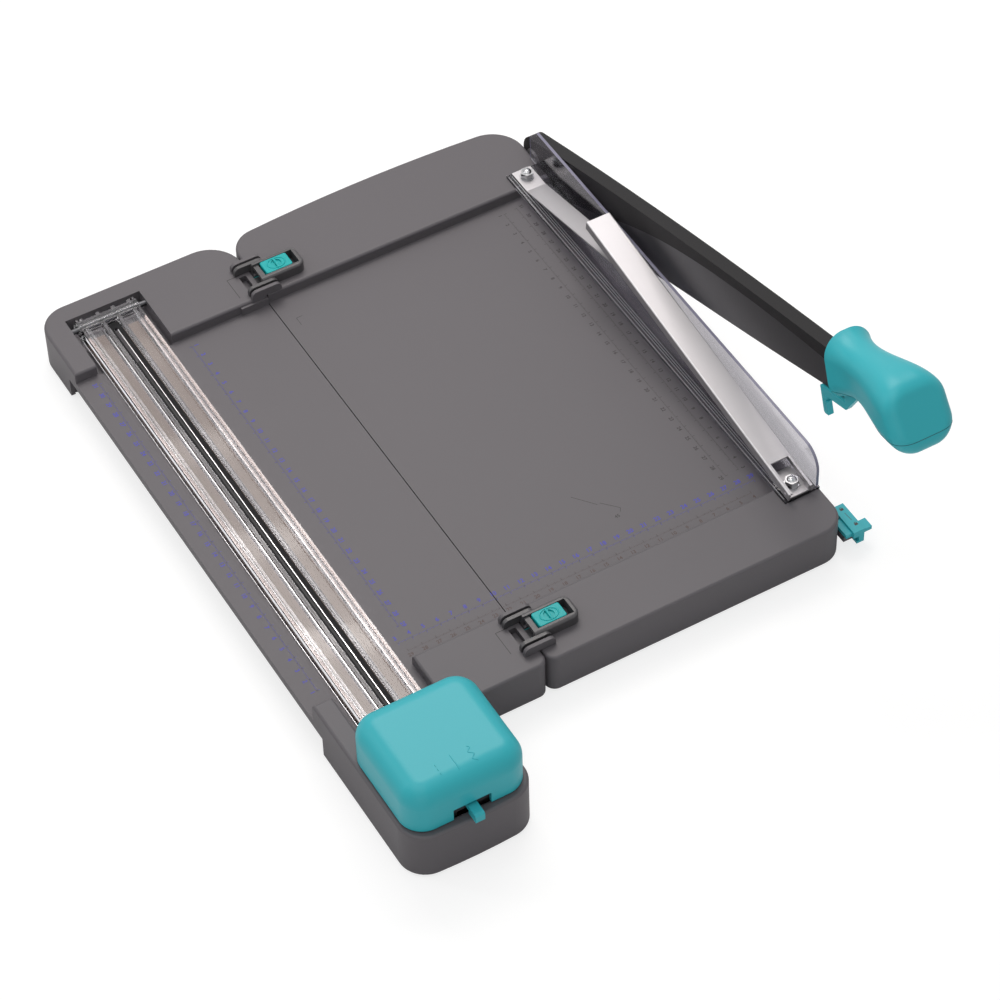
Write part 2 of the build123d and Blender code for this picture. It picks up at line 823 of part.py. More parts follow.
# Selector: outside tab, bar along the front wall and a follower pin in the groove
with BuildPart() as selector_tab:
    with BuildSketch(Plane.YZ.offset(-tab_half)) as tab:
        with BuildLine():
            Polyline(
                (tab_front_y, tab_z),
                (tab_back_y, tab_z),
                (tab_back_y, selector_z),
                (selector_bar_y + 1, selector_z),
                (selector_bar_y + 1, tab_top_z),
                (tab_front_y, tab_top_z),
                close=True,
            )
        make_face()
        fillet(tab.vertices().sort_by_distance((tab_front_y, tab_top_z))[0], 2.0)
    extrude(amount=2 * tab_half)
    bar_back = selector_bar_y + selector_bar_depth
    arm_right = groove_mid_x + follower_half
    pin_foot_y = turret_y - barrel_r - follower_r - 1.1
    block(selector_bar_left_x, arm_right, selector_bar_y, bar_back, selector_z, tab_top_z)
    block(groove_mid_x - follower_half, arm_right, selector_bar_y, pin_foot_y, selector_z, tab_top_z)
    with Locations(
        Location((groove_mid_x, (pin_foot_y + turret_y - barrel_r) / 2 - 0.5, turret_z), (90, 0, 0))
    ):
        Cylinder(follower_r, turret_y - barrel_r - pin_foot_y + 1)
    with Locations((groove_mid_x, turret_y - barrel_r, turret_z)):
        Sphere(follower_r)

export_list = [
    ("left_base", left_base),
    ("right_base", right_base),
    ("left_feet", left_feet),
    ("right_feet", right_feet),
    ("trimmer_rail", trimmer_rail),
    ("grip_strips", grip_strips),
    ("cutting_strip", cutting_strip),
    ("rail_hinge_pin", rail_hinge_pin),
    ("head_cover", head_cover),
    ("carriage", carriage),
    ("cover_screws", cover_screws),
    ("blade_turret", blade_turret),
    ("turret_axle", turret_axle),
    ("wheel_pins", wheel_pins),
    ("straight_wheel", straight_wheel),
    ("perforating_wheel", perforating_wheel),
    ("wavy_wheel", wavy_wheel),
    ("selector_tab", selector_tab),
]

# Latches: housing on the right board, button with tongue, keeper in the left board
for name, y in latch_at:
    with BuildPart() as housing:
        with BuildSketch(Plane.XY.offset(bar_z)) as frame_plan:
            with Locations((latch_wall_x, y)):
                Rectangle(latch_end_x - latch_wall_x, 2 * latch_half, align=(Align.MIN, Align.CENTER))
            fillet(frame_plan.vertices().group_by(Axis.X)[-1], latch_half * 0.6)
        extrude(amount=latch_rise)
        fillet(housing.faces().sort_by(Axis.Z)[-1].edges().sort_by(Axis.X)[-3:], 2.0)
        block(
            latch_wall_x - 1,
            latch_pocket_end_x,
            y - latch_pocket_half,
            y + latch_pocket_half,
            bar_z - 1,
            bar_z + latch_rise + 1,
            Mode.SUBTRACT,
        )
        bar_low = bar_z + cross_bar_rise
        block(
            cross_bar_x,
            latch_pocket_x,
            y - latch_half + 1,
            y + latch_half - 1,
            bar_low,
            bar_low + cross_bar_thick,
        )
        for side in (-1, 1):
            with BuildSketch(upright(y + side * inner_ear_mid)) as ear:
                with Locations((ear_left_x, bar_z + slide_gap)):
                    Rectangle(ear_right_x - ear_left_x, ear_rise - slide_gap, align=(Align.MIN, Align.MIN))
                fillet(ear.vertices().group_by(Axis.Y)[-1], ear_round)
                with Locations((seam_right + bar_round, bar_z)):
                    Rectangle(ear_right_x - seam_right - bar_round, 1, align=(Align.MIN, Align.MIN))
            extrude(amount=ear_thick / 2, both=True)

    with BuildPart() as button:
        with BuildSketch(Plane.XY.offset(bar_z + button_lift)) as button_plan:
            with Locations((button_x, y)):
                Rectangle(button_end_x - button_x, 2 * button_half, align=(Align.MIN, Align.CENTER))
            fillet(button_plan.vertices(), 1.5)
        extrude(amount=button_rise - button_lift)
        fillet(button.faces().sort_by(Axis.Z)[-1].edges(), 0.6)
        button_mid = (button_x + button_end_x) / 2
        rod(
            button_mid,
            y,
            bar_z + button_rise - dimple_depth,
            bar_z + button_rise + 1,
            dimple_r,
            Mode.SUBTRACT,
        )
        block(stem_x, stem_end_x, y - stem_half, y + stem_half, tongue_z, bar_z + button_lift + 1)
        block(tongue_tip_x, stem_end_x, y - tongue_half, y + tongue_half, tongue_z, tongue_z + tongue_thick)

    with BuildPart() as keeper:
        keeper_top = bar_z
        block(
            keeper_x + seat_gap,
            seam_left - 0.4,
            y - keeper_half + seat_gap,
            y + keeper_half - seat_gap,
            bar_z - keeper_drop,
            keeper_top,
        )
        pit_floor = tongue_z - slide_gap
        block(pit_x, pit_end_x, y - pit_half, y + pit_half, pit_floor, keeper_top + 1, Mode.SUBTRACT)
        pass_half = tongue_half + slide_gap
        pass_top = tongue_z + tongue_thick + slide_gap
        block(pit_x, seam_left, y - pass_half, y + pass_half, pit_floor, pass_top, Mode.SUBTRACT)

    export_list.append((name + "_latch_housing", housing))
    export_list.append((name + "_latch_button", button))
    export_list.append((name + "_latch_keeper", keeper))

# Ledger blade on the outside of the right wall
with BuildPart() as ledger_blade:
    block(right_x, cut_x, ledger_front_y, ledger_back_y, ledger_z, bed_z)
    for y in ledger_screw_ys:
        with Locations(Location(((right_x + cut_x) / 2, y, ledger_screw_z), (0, 90, 0))):
            Cone(ledger_screw_r + seat_gap, ledger_head_r + seat_gap, cut_x - right_x, mode=Mode.SUBTRACT)

with BuildPart() as ledger_screws:
    for y in ledger_screw_ys:
        with Locations(Location(((right_x + cut_x) / 2, y, ledger_screw_z), (0, 90, 0))):
            Cone(ledger_screw_r, ledger_head_r, cut_x - right_x)
        cross_rod(right_x - ledger_screw_len + 0.5, right_x + 0.1, y, ledger_screw_z, ledger_screw_r)

# Clear guard: grooved flange on the bars and an upright wall beside the blade
flange_top = bar_z + guard_thick
with BuildPart() as safety_guard:
    block(guard_x, guard_right_x, guard_front_y, guard_back_y, bar_z, flange_top)
    with BuildSketch(Plane.YZ.offset(guard_right_x - guard_thick)) as guard_side:
        with BuildLine():
            Polyline(
                (guard_wall_front_y, bar_z),
                (guard_wall_back_y, bar_z),
                (guard_wall_back_y, guard_rear_z),
                (guard_back_y, guard_top_z),
                (guard_wall_front_y, guard_top_z),
                close=True,
            )
        make_face()
        fillet(guard_side.vertices().sort_by_distance((guard_wall_front_y, guard_top_z))[0], guard_round)
    extrude(amount=guard_thick)
    for i in range(4):
        x = guard_x + 1.2 + 1.9 * i
        block(
            x,
            x + 0.9,
            guard_front_y - 1,
            guard_back_y + 1,
            flange_top - guard_groove,
            flange_top + 1,
            Mode.SUBTRACT,
        )
    for y in (rear_bolt_y, front_bolt_y):
        rod(clamp_mid_x, y, bar_z - 1, flange_top + 1, bolt_r + bolt_hole_gap, Mode.SUBTRACT)

# Hand clamp: bracket, pin, channel plate and leaf spring
clamp_hinge_z = flange_top + clamp_hinge_lift
inner_half = plate_w / 2 - plate_sheet
ear_out = inner_half - 0.2
with BuildPart() as clamp_bracket:
    block(
        clamp_mid_x - ear_out,
        clamp_mid_x + ear_out,
        guard_front_y + 0.5,
        bracket_back_y,
        flange_top,
        flange_top + bracket_sheet,
    )
    for x in (clamp_mid_x - ear_out, clamp_mid_x + ear_out - bracket_sheet):
        with BuildSketch(Plane.YZ.offset(x)):
            with Locations((clamp_hinge_y, clamp_hinge_z)):
                Circle(bracket_ear_r)
            with Locations((clamp_hinge_y, flange_top)):
                Rectangle(2 * bracket_ear_r, clamp_hinge_lift, align=(Align.CENTER, Align.MIN))
        extrude(amount=bracket_sheet)
    reach = plate_w / 2 + 1
    cross_rod(
        clamp_mid_x - reach,
        clamp_mid_x + reach,
        clamp_hinge_y,
        clamp_hinge_z,
        clamp_pin_r + seat_gap,
        Mode.SUBTRACT,
    )
    rod(clamp_mid_x, front_bolt_y, flange_top - 1, flange_top + 3, bolt_r + bolt_hole_gap, Mode.SUBTRACT)

with BuildPart() as clamp_rivets:
    pin_out = plate_w / 2 + 0.4
    pin_in = ear_out - bracket_sheet
    cross_rod(clamp_mid_x - pin_out, clamp_mid_x - pin_in, clamp_hinge_y, clamp_hinge_z, clamp_pin_r)
    cross_rod(clamp_mid_x + pin_in, clamp_mid_x + pin_out, clamp_hinge_y, clamp_hinge_z, clamp_pin_r)

slope = radians(plate_slope)
with BuildPart() as press_plate:
    channel_plane = Plane(
        origin=(clamp_mid_x, clamp_hinge_y, clamp_hinge_z),
        x_dir=(1, 0, 0),
        z_dir=(0, cos(slope), sin(slope)),
    )
    with BuildSketch(channel_plane.offset(-plate_front)) as channel:
        top = -(plate_rise + plate_sheet)
        with Locations((0, top)):
            Rectangle(plate_w, plate_lip, align=(Align.CENTER, Align.MIN))
        fillet(channel.vertices().group_by(Axis.Y)[0], 1.0)
        with Locations((0, top + plate_sheet)):
            Rectangle(2 * inner_half, plate_lip, align=(Align.CENTER, Align.MIN), mode=Mode.SUBTRACT)
    extrude(amount=plate_front + plate_rear)
    with BuildSketch(channel_plane.offset(-plate_front - 1)):
        with Locations((0, top - 1)):
            Rectangle(2 * window_half, plate_sheet + 2, align=(Align.CENTER, Align.MIN))
    extrude(amount=plate_front + window_rear + 1, mode=Mode.SUBTRACT)
    cross_rod(
        clamp_mid_x - reach,
        clamp_mid_x + reach,
        clamp_hinge_y,
        clamp_hinge_z,
        clamp_pin_r + run_gap,
        Mode.SUBTRACT,
    )

rise = leaf_len * sin(radians(leaf_slope))
run = leaf_len * cos(radians(leaf_slope))
with BuildPart() as spring_strip:
    with BuildSketch(Plane.YZ.offset(clamp_mid_x - leaf_w / 2)):
        with BuildLine():
            Polyline(
                (leaf_back_y, flange_top),
                (leaf_back_y, flange_top + leaf_thick),
                (leaf_foot_y, flange_top + leaf_thick),
                (leaf_foot_y - run, flange_top + leaf_thick + rise),
                (leaf_foot_y - run, flange_top + rise),
                (leaf_foot_y, flange_top),
                close=True,
            )
        make_face()
    extrude(amount=leaf_w)
    rod(clamp_mid_x, rear_bolt_y, flange_top - 1, flange_top + 3, bolt_r + bolt_hole_gap, Mode.SUBTRACT)

rear_seat = flange_top + leaf_thick
front_seat = flange_top + bracket_sheet
with BuildPart() as clamp_washers:
    for y, z in ((rear_bolt_y, rear_seat), (front_bolt_y, front_seat)):
        rod(clamp_mid_x, y, z, z + washer_thick, washer_r)
        rod(clamp_mid_x, y, z - 1, z + washer_thick + 1, bolt_r + bolt_hole_gap, Mode.SUBTRACT)

with BuildPart() as clamp_bolts:
    for y, z in ((rear_bolt_y, rear_seat), (front_bolt_y, front_seat)):
        rod(clamp_mid_x, y, bolt_foot_z + 0.2, z + washer_thick + nut_h, bolt_r)

with BuildPart() as clamp_nuts:
    for y, z in ((rear_bolt_y, rear_seat), (front_bolt_y, front_seat)):
        with BuildSketch(Plane.XY.offset(z + washer_thick)):
            with Locations((clamp_mid_x, y)):
                RegularPolygon(nut_r, 6)
        extrude(amount=nut_h)
        with Locations((clamp_mid_x, y, z + washer_thick + nut_h)):
            Sphere(dome_r, arc_size1=0)
        rod(clamp_mid_x, y, z, z + washer_thick + nut_h + 0.3, bolt_r + seat_gap, Mode.SUBTRACT)

# Arm and blade
blade_out_x = blade_in_x + blade_thick
arm_out_x = blade_out_x + arm_thick
blade_end = arm_len - 0.4
blade_toe = -16.4
back_points = [(28, -16.5), (90, -7.6), (147, 3.0), (238, 9.5), (blade_end, 1.0)]
seat_points = [(along, up + seat_rise) for along, up in back_points]
with BuildSketch() as blade_outline:
    with BuildLine():
        Spline(*back_points)
        Polyline(back_points[-1], (blade_end, blade_toe))
        Spline((blade_end, blade_toe), (290, -20.8), (185, -24.2), (60, -22.0), back_points[0])
    make_face()

with BuildSketch() as blade_seat:
    with BuildLine():
        Spline(*seat_points)
        Polyline(
            seat_points[-1],
            (arm_len + 2, seat_points[-1][1]),
            (arm_len + 2, -40),
            (28, -40),
            seat_points[0],
        )
    make_face()

with BuildSketch() as arm_outline:
    with BuildLine():
        ThreePointArc((0, arm_tail_r), (arm_crest_at, arm_crest), (arm_len, arm_top))
        Polyline((arm_len, arm_top), (arm_len, arm_low), (172, -17), (0, -arm_tail_r))
        ThreePointArc((0, -arm_tail_r), (-arm_tail_r, 0), (0, arm_tail_r))
    make_face()

with BuildPart() as cutter_arm:
    with BuildSketch(arm_plane(blade_in_x)):
        add(arm_outline.sketch)
    extrude(amount=blade_in_x - arm_out_x)
    with BuildSketch(arm_plane(blade_out_x)):
        add(blade_seat.sketch)
    extrude(amount=2 * blade_thick, mode=Mode.SUBTRACT)
    with BuildSketch(arm_plane(blade_out_x + 1.25)):
        with Locations((arm_len - 1, tang_low)):
            Rectangle(tang_len + 1, tang_high - tang_low, align=(Align.MIN, Align.MIN))
    extrude(amount=-tang_thick)
    with BuildSketch(arm_plane(blade_in_x - 1)):
        Circle(arm_bore_r)
    extrude(amount=-tall / 4, mode=Mode.SUBTRACT)
    with BuildSketch(arm_plane(blade_out_x - 1)):
        with Locations(*blade_screws_at):
            Circle(blade_screw_r + seat_gap)
    extrude(amount=-tall / 4, mode=Mode.SUBTRACT)

screw_tip_x = blade_in_x + 1.0
with BuildPart() as arm_blade:
    with BuildSketch(arm_plane(blade_in_x)):
        add(blade_outline.sketch)
    extrude(amount=-blade_thick)
    with BuildSketch(arm_plane(screw_tip_x)):
        with Locations(*blade_screws_at):
            Circle(blade_screw_r + seat_gap)
    extrude(amount=-blade_thick, mode=Mode.SUBTRACT)

with BuildPart() as blade_screws:
    with BuildSketch(arm_plane(screw_tip_x + 0.1)):
        with Locations(*blade_screws_at):
            Circle(blade_screw_r)
    extrude(amount=screw_tip_x + 0.1 - arm_out_x - 0.5)
    with BuildSketch(arm_plane(arm_out_x)):
        with Locations(*blade_screws_at):
            Circle(blade_screw_head_r)
    extrude(amount=-blade_screw_head_h)

with BuildPart() as pivot_washer:
    cross_rod(right_x, blade_in_x - run_gap, pivot_y, pivot_z, pivot_washer_r)
    cross_rod(right_x - 1, cut_x + 2, pivot_y, pivot_z, pivot_shank_r + run_gap, Mode.SUBTRACT)

with BuildPart() as spring_washer:
    cross_rod(arm_out_x + run_gap, arm_out_x + spring_washer_h, pivot_y, pivot_z, pivot_head_r - 1)
    cross_rod(arm_out_x - 1, arm_out_x + 5, pivot_y, pivot_z, pivot_shank_r + run_gap, Mode.SUBTRACT)

head_x = arm_out_x + spring_washer_h
with BuildPart() as pivot_bolt:
    cross_rod(pivot_boss_x + 1.5, right_x + 1, pivot_y, pivot_z, pivot_thread_r)
    cross_rod(right_x, head_x + 1, pivot_y, pivot_z, pivot_shank_r)
    with BuildSketch(Plane.YZ.offset(head_x)):
        with Locations((pivot_y, pivot_z)):
            RegularPolygon(pivot_head_r, 6)
    extrude(amount=pivot_head_h)

# Handle: lofted grip split along its parting plane
with BuildPart() as grip:
    with BuildSketch(arm_section(handle_start, start_rise)):
        RectangleRounded(2 * start_half_w, 2 * start_half_h, start_r)
    with BuildSketch(arm_section(handle_start + neck_run, neck_rise)):
        RectangleRounded(2 * neck_half_w, 2 * neck_half_h, neck_r)
    with BuildSketch(arm_section(handle_start + swell_run, swell_rise)):
        RectangleRounded(2 * swell_half_w, 2 * swell_half_h, swell_r)
    with BuildSketch(arm_section(handle_start + tip_run, tip_rise, tip_lean)):
        RectangleRounded(2 * tip_half_w, 2 * tip_half_h, tip_r)
    loft()
    fillet(grip.faces().sort_by(Axis.Y)[0].edges(), tip_round)

split_plane = Plane(
    origin=arm_plane(handle_x).from_local_coords((0, parting, 0)),
    x_dir=(1, 0, 0),
    z_dir=(0, sin(radians(arm_angle)), cos(radians(arm_angle))),
)
with BuildPart() as handle_upper:
    add(grip.part)
    split(bisect_by=split_plane, keep=Keep.TOP)
    with BuildSketch(arm_plane(blade_out_x + 1.25 - seat_gap)):
        with Locations((handle_start - 2, tang_low - seat_gap)):
            Rectangle(tang_len + 2, tang_high - tang_low + 2 * seat_gap, align=(Align.MIN, Align.MIN))
    extrude(amount=-tang_thick - 2 * seat_gap, mode=Mode.SUBTRACT)
    with BuildSketch(split_plane.offset(-1)):
        with Locations(*[(0, -s) for s in handle_screws_at]):
            Circle(handle_screw_r + seat_gap)
    extrude(amount=10, mode=Mode.SUBTRACT)

with BuildPart() as handle_lower:
    add(grip.part)
    split(bisect_by=split_plane, keep=Keep.BOTTOM)
    fin_start = handle_start - fin_back
    toe_end = fin_start + fin_toe_len
    fin_end = handle_start + fin_front
    with BuildSketch(arm_plane(fin_x + fin_w)) as fin:
        with BuildLine():
            Polyline(
                (fin_start, fin_top),
                (fin_start, fin_low),
                (toe_end, fin_low),
                (toe_end, fin_barb),
                (toe_end - fin_throat_len, fin_barb),
                (toe_end - fin_throat_len, fin_heel),
                (handle_start, fin_heel),
                (fin_end, fin_root),
                (handle_start + handle_gap, fin_root),
                (handle_start + handle_gap, fin_top),
                close=True,
            )
        make_face()
        fillet(fin.vertices().sort_by_distance((fin_start, fin_low))[0], fin_round)
    extrude(amount=fin_w)
    with BuildSketch(split_plane.offset(-tall / 4)):
        with Locations(*[(0, -s) for s in handle_screws_at]):
            Circle(handle_screw_r + seat_gap)
    extrude(amount=tall / 2, mode=Mode.SUBTRACT)
    with BuildSketch(split_plane.offset(-tall / 4)):
        with Locations(*[(0, -s) for s in handle_screws_at]):
            Circle(handle_screw_head_r + seat_gap)
    extrude(amount=tall / 4 - handle_screw_sink, mode=Mode.SUBTRACT)

with BuildPart() as handle_screws:
    with BuildSketch(split_plane.offset(-handle_screw_sink - handle_screw_head_h)):
        with Locations(*[(0, -s) for s in handle_screws_at]):
            Circle(handle_screw_head_r)
    extrude(amount=handle_screw_head_h)
    with BuildSketch(split_plane.offset(-handle_screw_sink - 1)):
        with Locations(*[(0, -s) for s in handle_screws_at]):
            Circle(handle_screw_r)
    extrude(amount=13)

# Lock: ledge on the side and a slider hooked round its edge
with BuildPart() as lock_bracket:
    block(
        right_x,
        lock_plate_end_x,
        lock_plate_y,
        lock_plate_end_y,
        lock_plate_z,
        lock_plate_z + lock_plate_thick,
    )

with BuildPart() as lock_slider:
    hook_gap = 0.1
    plate_up = lock_plate_z + lock_plate_thick + hook_gap
    plate_low = lock_plate_z - hook_gap
    with BuildSketch(upright(lock_y)):
        with BuildLine():
            Polyline(
                (lock_in_x, plate_up),
                (lock_in_x, lock_top_z),
                (lock_out_x, lock_top_z),
                (lock_out_x, lock_low_z),
                (lock_plate_end_x - 1.5, lock_low_z),
                (lock_plate_end_x - 1.5, plate_low),
                (lock_plate_end_x + hook_gap, plate_low),
                (lock_plate_end_x + hook_gap, plate_up),
                close=True,
            )
        make_face()
    extrude(amount=lock_y - lock_end_y)
    block(
        lock_out_x - 1,
        lock_tongue_x,
        lock_tongue_y,
        lock_tongue_end_y,
        lock_tongue_z,
        lock_tongue_z + lock_tongue_h,
    )
    block(
        lock_catch_x,
        lock_in_x + 1,
        lock_tongue_y,
        lock_catch_end_y,
        lock_catch_z,
        lock_catch_z + lock_catch_h,
    )

export_list += [
    ("ledger_blade", ledger_blade),
    ("ledger_screws", ledger_screws),
    ("safety_guard", safety_guard),
    ("clamp_bracket", clamp_bracket),
    ("clamp_rivets", clamp_rivets),
    ("press_plate", press_plate),
    ("spring_strip", spring_strip),
    ("clamp_washers", clamp_washers),
    ("clamp_bolts", clamp_bolts),
    ("clamp_nuts", clamp_nuts),
    ("cutter_arm", cutter_arm),
    ("arm_blade", arm_blade),
    ("blade_screws", blade_screws),
    ("pivot_washer", pivot_washer),
    ("spring_washer", spring_washer),
    ("pivot_bolt", pivot_bolt),
    ("handle_upper", handle_upper),
    ("handle_lower", handle_lower),
    ("handle_screws", handle_screws),
    ("lock_bracket", lock_bracket),
    ("lock_slider", lock_slider),
]

for name, built in export_list:
    built.part.label = name
    export_step(built.part, "parts/" + name + ".step")
    print(name, len(built.part.solids()), round(built.part.volume))
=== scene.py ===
import math

import bpy
from mathutils import Matrix, Vector


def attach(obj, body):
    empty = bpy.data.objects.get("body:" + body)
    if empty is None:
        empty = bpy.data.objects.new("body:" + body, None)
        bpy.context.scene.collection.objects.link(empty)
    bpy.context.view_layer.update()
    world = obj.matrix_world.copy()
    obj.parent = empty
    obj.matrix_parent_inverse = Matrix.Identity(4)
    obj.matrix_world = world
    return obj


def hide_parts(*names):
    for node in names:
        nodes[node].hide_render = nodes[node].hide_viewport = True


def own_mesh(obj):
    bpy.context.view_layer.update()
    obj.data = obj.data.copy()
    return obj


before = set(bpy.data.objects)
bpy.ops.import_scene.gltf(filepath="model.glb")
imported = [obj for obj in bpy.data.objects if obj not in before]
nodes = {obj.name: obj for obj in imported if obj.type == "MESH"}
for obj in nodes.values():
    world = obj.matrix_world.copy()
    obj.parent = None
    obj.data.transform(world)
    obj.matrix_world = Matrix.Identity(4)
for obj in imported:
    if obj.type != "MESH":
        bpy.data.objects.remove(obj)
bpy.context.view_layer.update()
mm = 0.001
print("frame loaded with", len(nodes), "nodes")


def addNode(tree, kind, inputs=None, **settings):
    node = tree.nodes.new(kind)
    for key, value in settings.items():
        setattr(node, key, value)
    for key, value in (inputs or {}).items():
        if isinstance(value, bpy.types.NodeSocket):
            tree.links.new(value, node.inputs[key])
        else:
            node.inputs[key].default_value = value
    return node


def startGroup(name, inputs, outputs):
    tree = bpy.data.node_groups.new(name, "ShaderNodeTree")
    for label, kind, value in inputs:
        socket = tree.interface.new_socket(label, in_out="INPUT", socket_type=kind)
        socket.default_value = value
    for label, kind in outputs:
        tree.interface.new_socket(label, in_out="OUTPUT", socket_type=kind)
    entry = tree.nodes.new("NodeGroupInput")
    leave = tree.nodes.new("NodeGroupOutput")
    return tree, entry, leave


surfaceOutputs = [
    ("Color", "NodeSocketColor"),
    ("Roughness", "NodeSocketFloat"),
    ("Height", "NodeSocketFloat"),
]


def tintByNoise(tree, entry, noise):
    # the tone drifts a little lighter and darker over the piece
    centred = addNode(tree, "ShaderNodeMath", {0: noise, 1: 2.0, 2: -1.0}, operation="MULTIPLY_ADD")
    shift = addNode(
        tree,
        "ShaderNodeMath",
        {0: centred.outputs[0], 1: entry.outputs["Tone"], 2: 1.0},
        operation="MULTIPLY_ADD",
    )
    return addNode(
        tree,
        "ShaderNodeHueSaturation",
        {"Color": entry.outputs["Color"], "Value": shift.outputs[0]},
    )


def spreadRough(tree, entry, noise):
    return addNode(
        tree,
        "ShaderNodeMath",
        {0: noise, 1: entry.outputs["Span"], 2: entry.outputs["Rough"]},
        operation="MULTIPLY_ADD",
    )


def makeMouldedGrain():
    tree, entry, leave = startGroup(
        "mouldedGrain",
        [
            ("Color", "NodeSocketColor", (0.5, 0.5, 0.5, 1)),
            ("Tone", "NodeSocketFloat", 0.04),
            ("Blotch", "NodeSocketFloat", 16.0),
            ("Grain", "NodeSocketFloat", 2400.0),
            ("Rough", "NodeSocketFloat", 0.4),
            ("Span", "NodeSocketFloat", 0.1),
        ],
        surfaceOutputs,
    )
    place = addNode(tree, "ShaderNodeTexCoord")
    broad = addNode(
        tree,
        "ShaderNodeTexNoise",
        {"Vector": place.outputs["Object"], "Scale": entry.outputs["Blotch"], "Detail": 3.0},
    )
    fine = addNode(
        tree,
        "ShaderNodeTexNoise",
        {"Vector": place.outputs["Object"], "Scale": entry.outputs["Grain"], "Detail": 2.0},
    )
    tint = tintByNoise(tree, entry, broad.outputs["Fac"])
    rough = spreadRough(tree, entry, fine.outputs["Fac"])
    tree.links.new(tint.outputs["Color"], leave.inputs["Color"])
    tree.links.new(rough.outputs[0], leave.inputs["Roughness"])
    tree.links.new(fine.outputs["Fac"], leave.inputs["Height"])
    return tree


def makeBrushedLines():
    tree, entry, leave = startGroup(
        "brushedLines",
        [
            ("Color", "NodeSocketColor", (0.7, 0.7, 0.7, 1)),
            ("Tone", "NodeSocketFloat", 0.08),
            ("Stretch", "NodeSocketVector", (3200.0, 25.0, 3200.0)),
            ("Rough", "NodeSocketFloat", 0.25),
            ("Span", "NodeSocketFloat", 0.15),
        ],
        surfaceOutputs,
    )
    place = addNode(tree, "ShaderNodeTexCoord")
    drawn = addNode(
        tree,
        "ShaderNodeMapping",
        {"Vector": place.outputs["Object"], "Scale": entry.outputs["Stretch"]},
    )
    lines = addNode(
        tree, "ShaderNodeTexNoise", {"Vector": drawn.outputs["Vector"], "Scale": 1.0, "Detail": 4.0}
    )
    tint = tintByNoise(tree, entry, lines.outputs["Fac"])
    rough = spreadRough(tree, entry, lines.outputs["Fac"])
    tree.links.new(tint.outputs["Color"], leave.inputs["Color"])
    tree.links.new(rough.outputs[0], leave.inputs["Roughness"])
    tree.links.new(lines.outputs["Fac"], leave.inputs["Height"])
    return tree


mouldedGrain = makeMouldedGrain()
brushedLines = makeBrushedLines()


def makeFinish(name, spec):
    finish = bpy.data.materials.new(name)
    finish.use_nodes = True
    tree = finish.node_tree
    shader = tree.nodes["Principled BSDF"]
    surface = addNode(tree, "ShaderNodeGroup", node_tree=spec["group"])
    for key, value in spec["surface"].items():
        surface.inputs[key].default_value = value
    if "Color" in spec["surface"]:
        tree.links.new(surface.outputs["Color"], shader.inputs["Base Color"])
    tree.links.new(surface.outputs["Roughness"], shader.inputs["Roughness"])
    bump = addNode(
        tree,
        "ShaderNodeBump",
        {
            "Height": surface.outputs["Height"],
            "Strength": spec["bump"],
            "Distance": spec["depth"] * mm,
        },
    )
    tree.links.new(bump.outputs["Normal"], shader.inputs["Normal"])
    for key, value in spec.get("shader", {}).items():
        shader.inputs[key].default_value = value
    if "lightPass" in spec:
        # lamps shine through, so that what lies under clear plastic isn't in the dark
        path = addNode(tree, "ShaderNodeLightPath")
        through = addNode(tree, "ShaderNodeBsdfTransparent", {"Color": spec["lightPass"]})
        mix = addNode(
            tree,
            "ShaderNodeMixShader",
            {0: path.outputs["Is Shadow Ray"], 1: shader.outputs[0], 2: through.outputs[0]},
        )
        tree.links.new(mix.outputs[0], tree.nodes["Material Output"].inputs["Surface"])
    return finish


boardGrey = makeFinish(
    "boardGrey",
    {
        "group": mouldedGrain,
        "surface": {
            "Color": (0.108, 0.100, 0.109, 1),
            "Tone": 0.035,
            "Blotch": 9.0,
            "Grain": 1500.0,
            "Rough": 0.42,
            "Span": 0.16,
        },
        "bump": 0.22,
        "depth": 0.05,
        "shader": {"Specular IOR Level": 0.4},
    },
)
darkPlastic = makeFinish(
    "darkPlastic",
    {
        "group": mouldedGrain,
        "surface": {"Color": (0.055, 0.053, 0.058, 1), "Tone": 0.06, "Rough": 0.38, "Span": 0.14},
        "bump": 0.2,
        "depth": 0.05,
    },
)
latchGrey = makeFinish(
    "latchGrey",
    {
        "group": mouldedGrain,
        "surface": {"Color": (0.066, 0.063, 0.067, 1), "Tone": 0.05, "Rough": 0.32, "Span": 0.12},
        "bump": 0.14,
        "depth": 0.05,
    },
)
tealPlastic = makeFinish(
    "tealPlastic",
    {
        "group": mouldedGrain,
        "surface": {
            "Color": (0.034, 0.440, 0.505, 1),
            "Tone": 0.03,
            "Blotch": 12.0,
            "Grain": 1900.0,
            "Rough": 0.33,
            "Span": 0.1,
        },
        "bump": 0.1,
        "depth": 0.04,
        "shader": {"Specular IOR Level": 0.34},
    },
)
brightTeal = makeFinish(
    "brightTeal",
    {
        "group": mouldedGrain,
        "surface": {"Color": (0.004, 0.400, 0.405, 1), "Tone": 0.03, "Rough": 0.34, "Span": 0.1},
        "bump": 0.08,
        "depth": 0.04,
        "shader": {"Specular IOR Level": 0.3},
    },
)
footRubber = makeFinish(
    "footRubber",
    {
        "group": mouldedGrain,
        "surface": {"Color": (0.03, 0.03, 0.031, 1), "Tone": 0.1, "Rough": 0.68, "Span": 0.2},
        "bump": 0.3,
        "depth": 0.08,
    },
)
cuttingMat = makeFinish(
    "cuttingMat",
    {
        "group": brushedLines,
        "surface": {
            "Color": (0.024, 0.024, 0.026, 1),
            "Tone": 0.25,
            "Stretch": (2600.0, 18.0, 2600.0),
            "Rough": 0.4,
            "Span": 0.25,
        },
        "bump": 0.25,
        "depth": 0.05,
    },
)
clearSurface = {"Stretch": (700.0, 9.0, 700.0), "Rough": 0.02, "Span": 0.05}
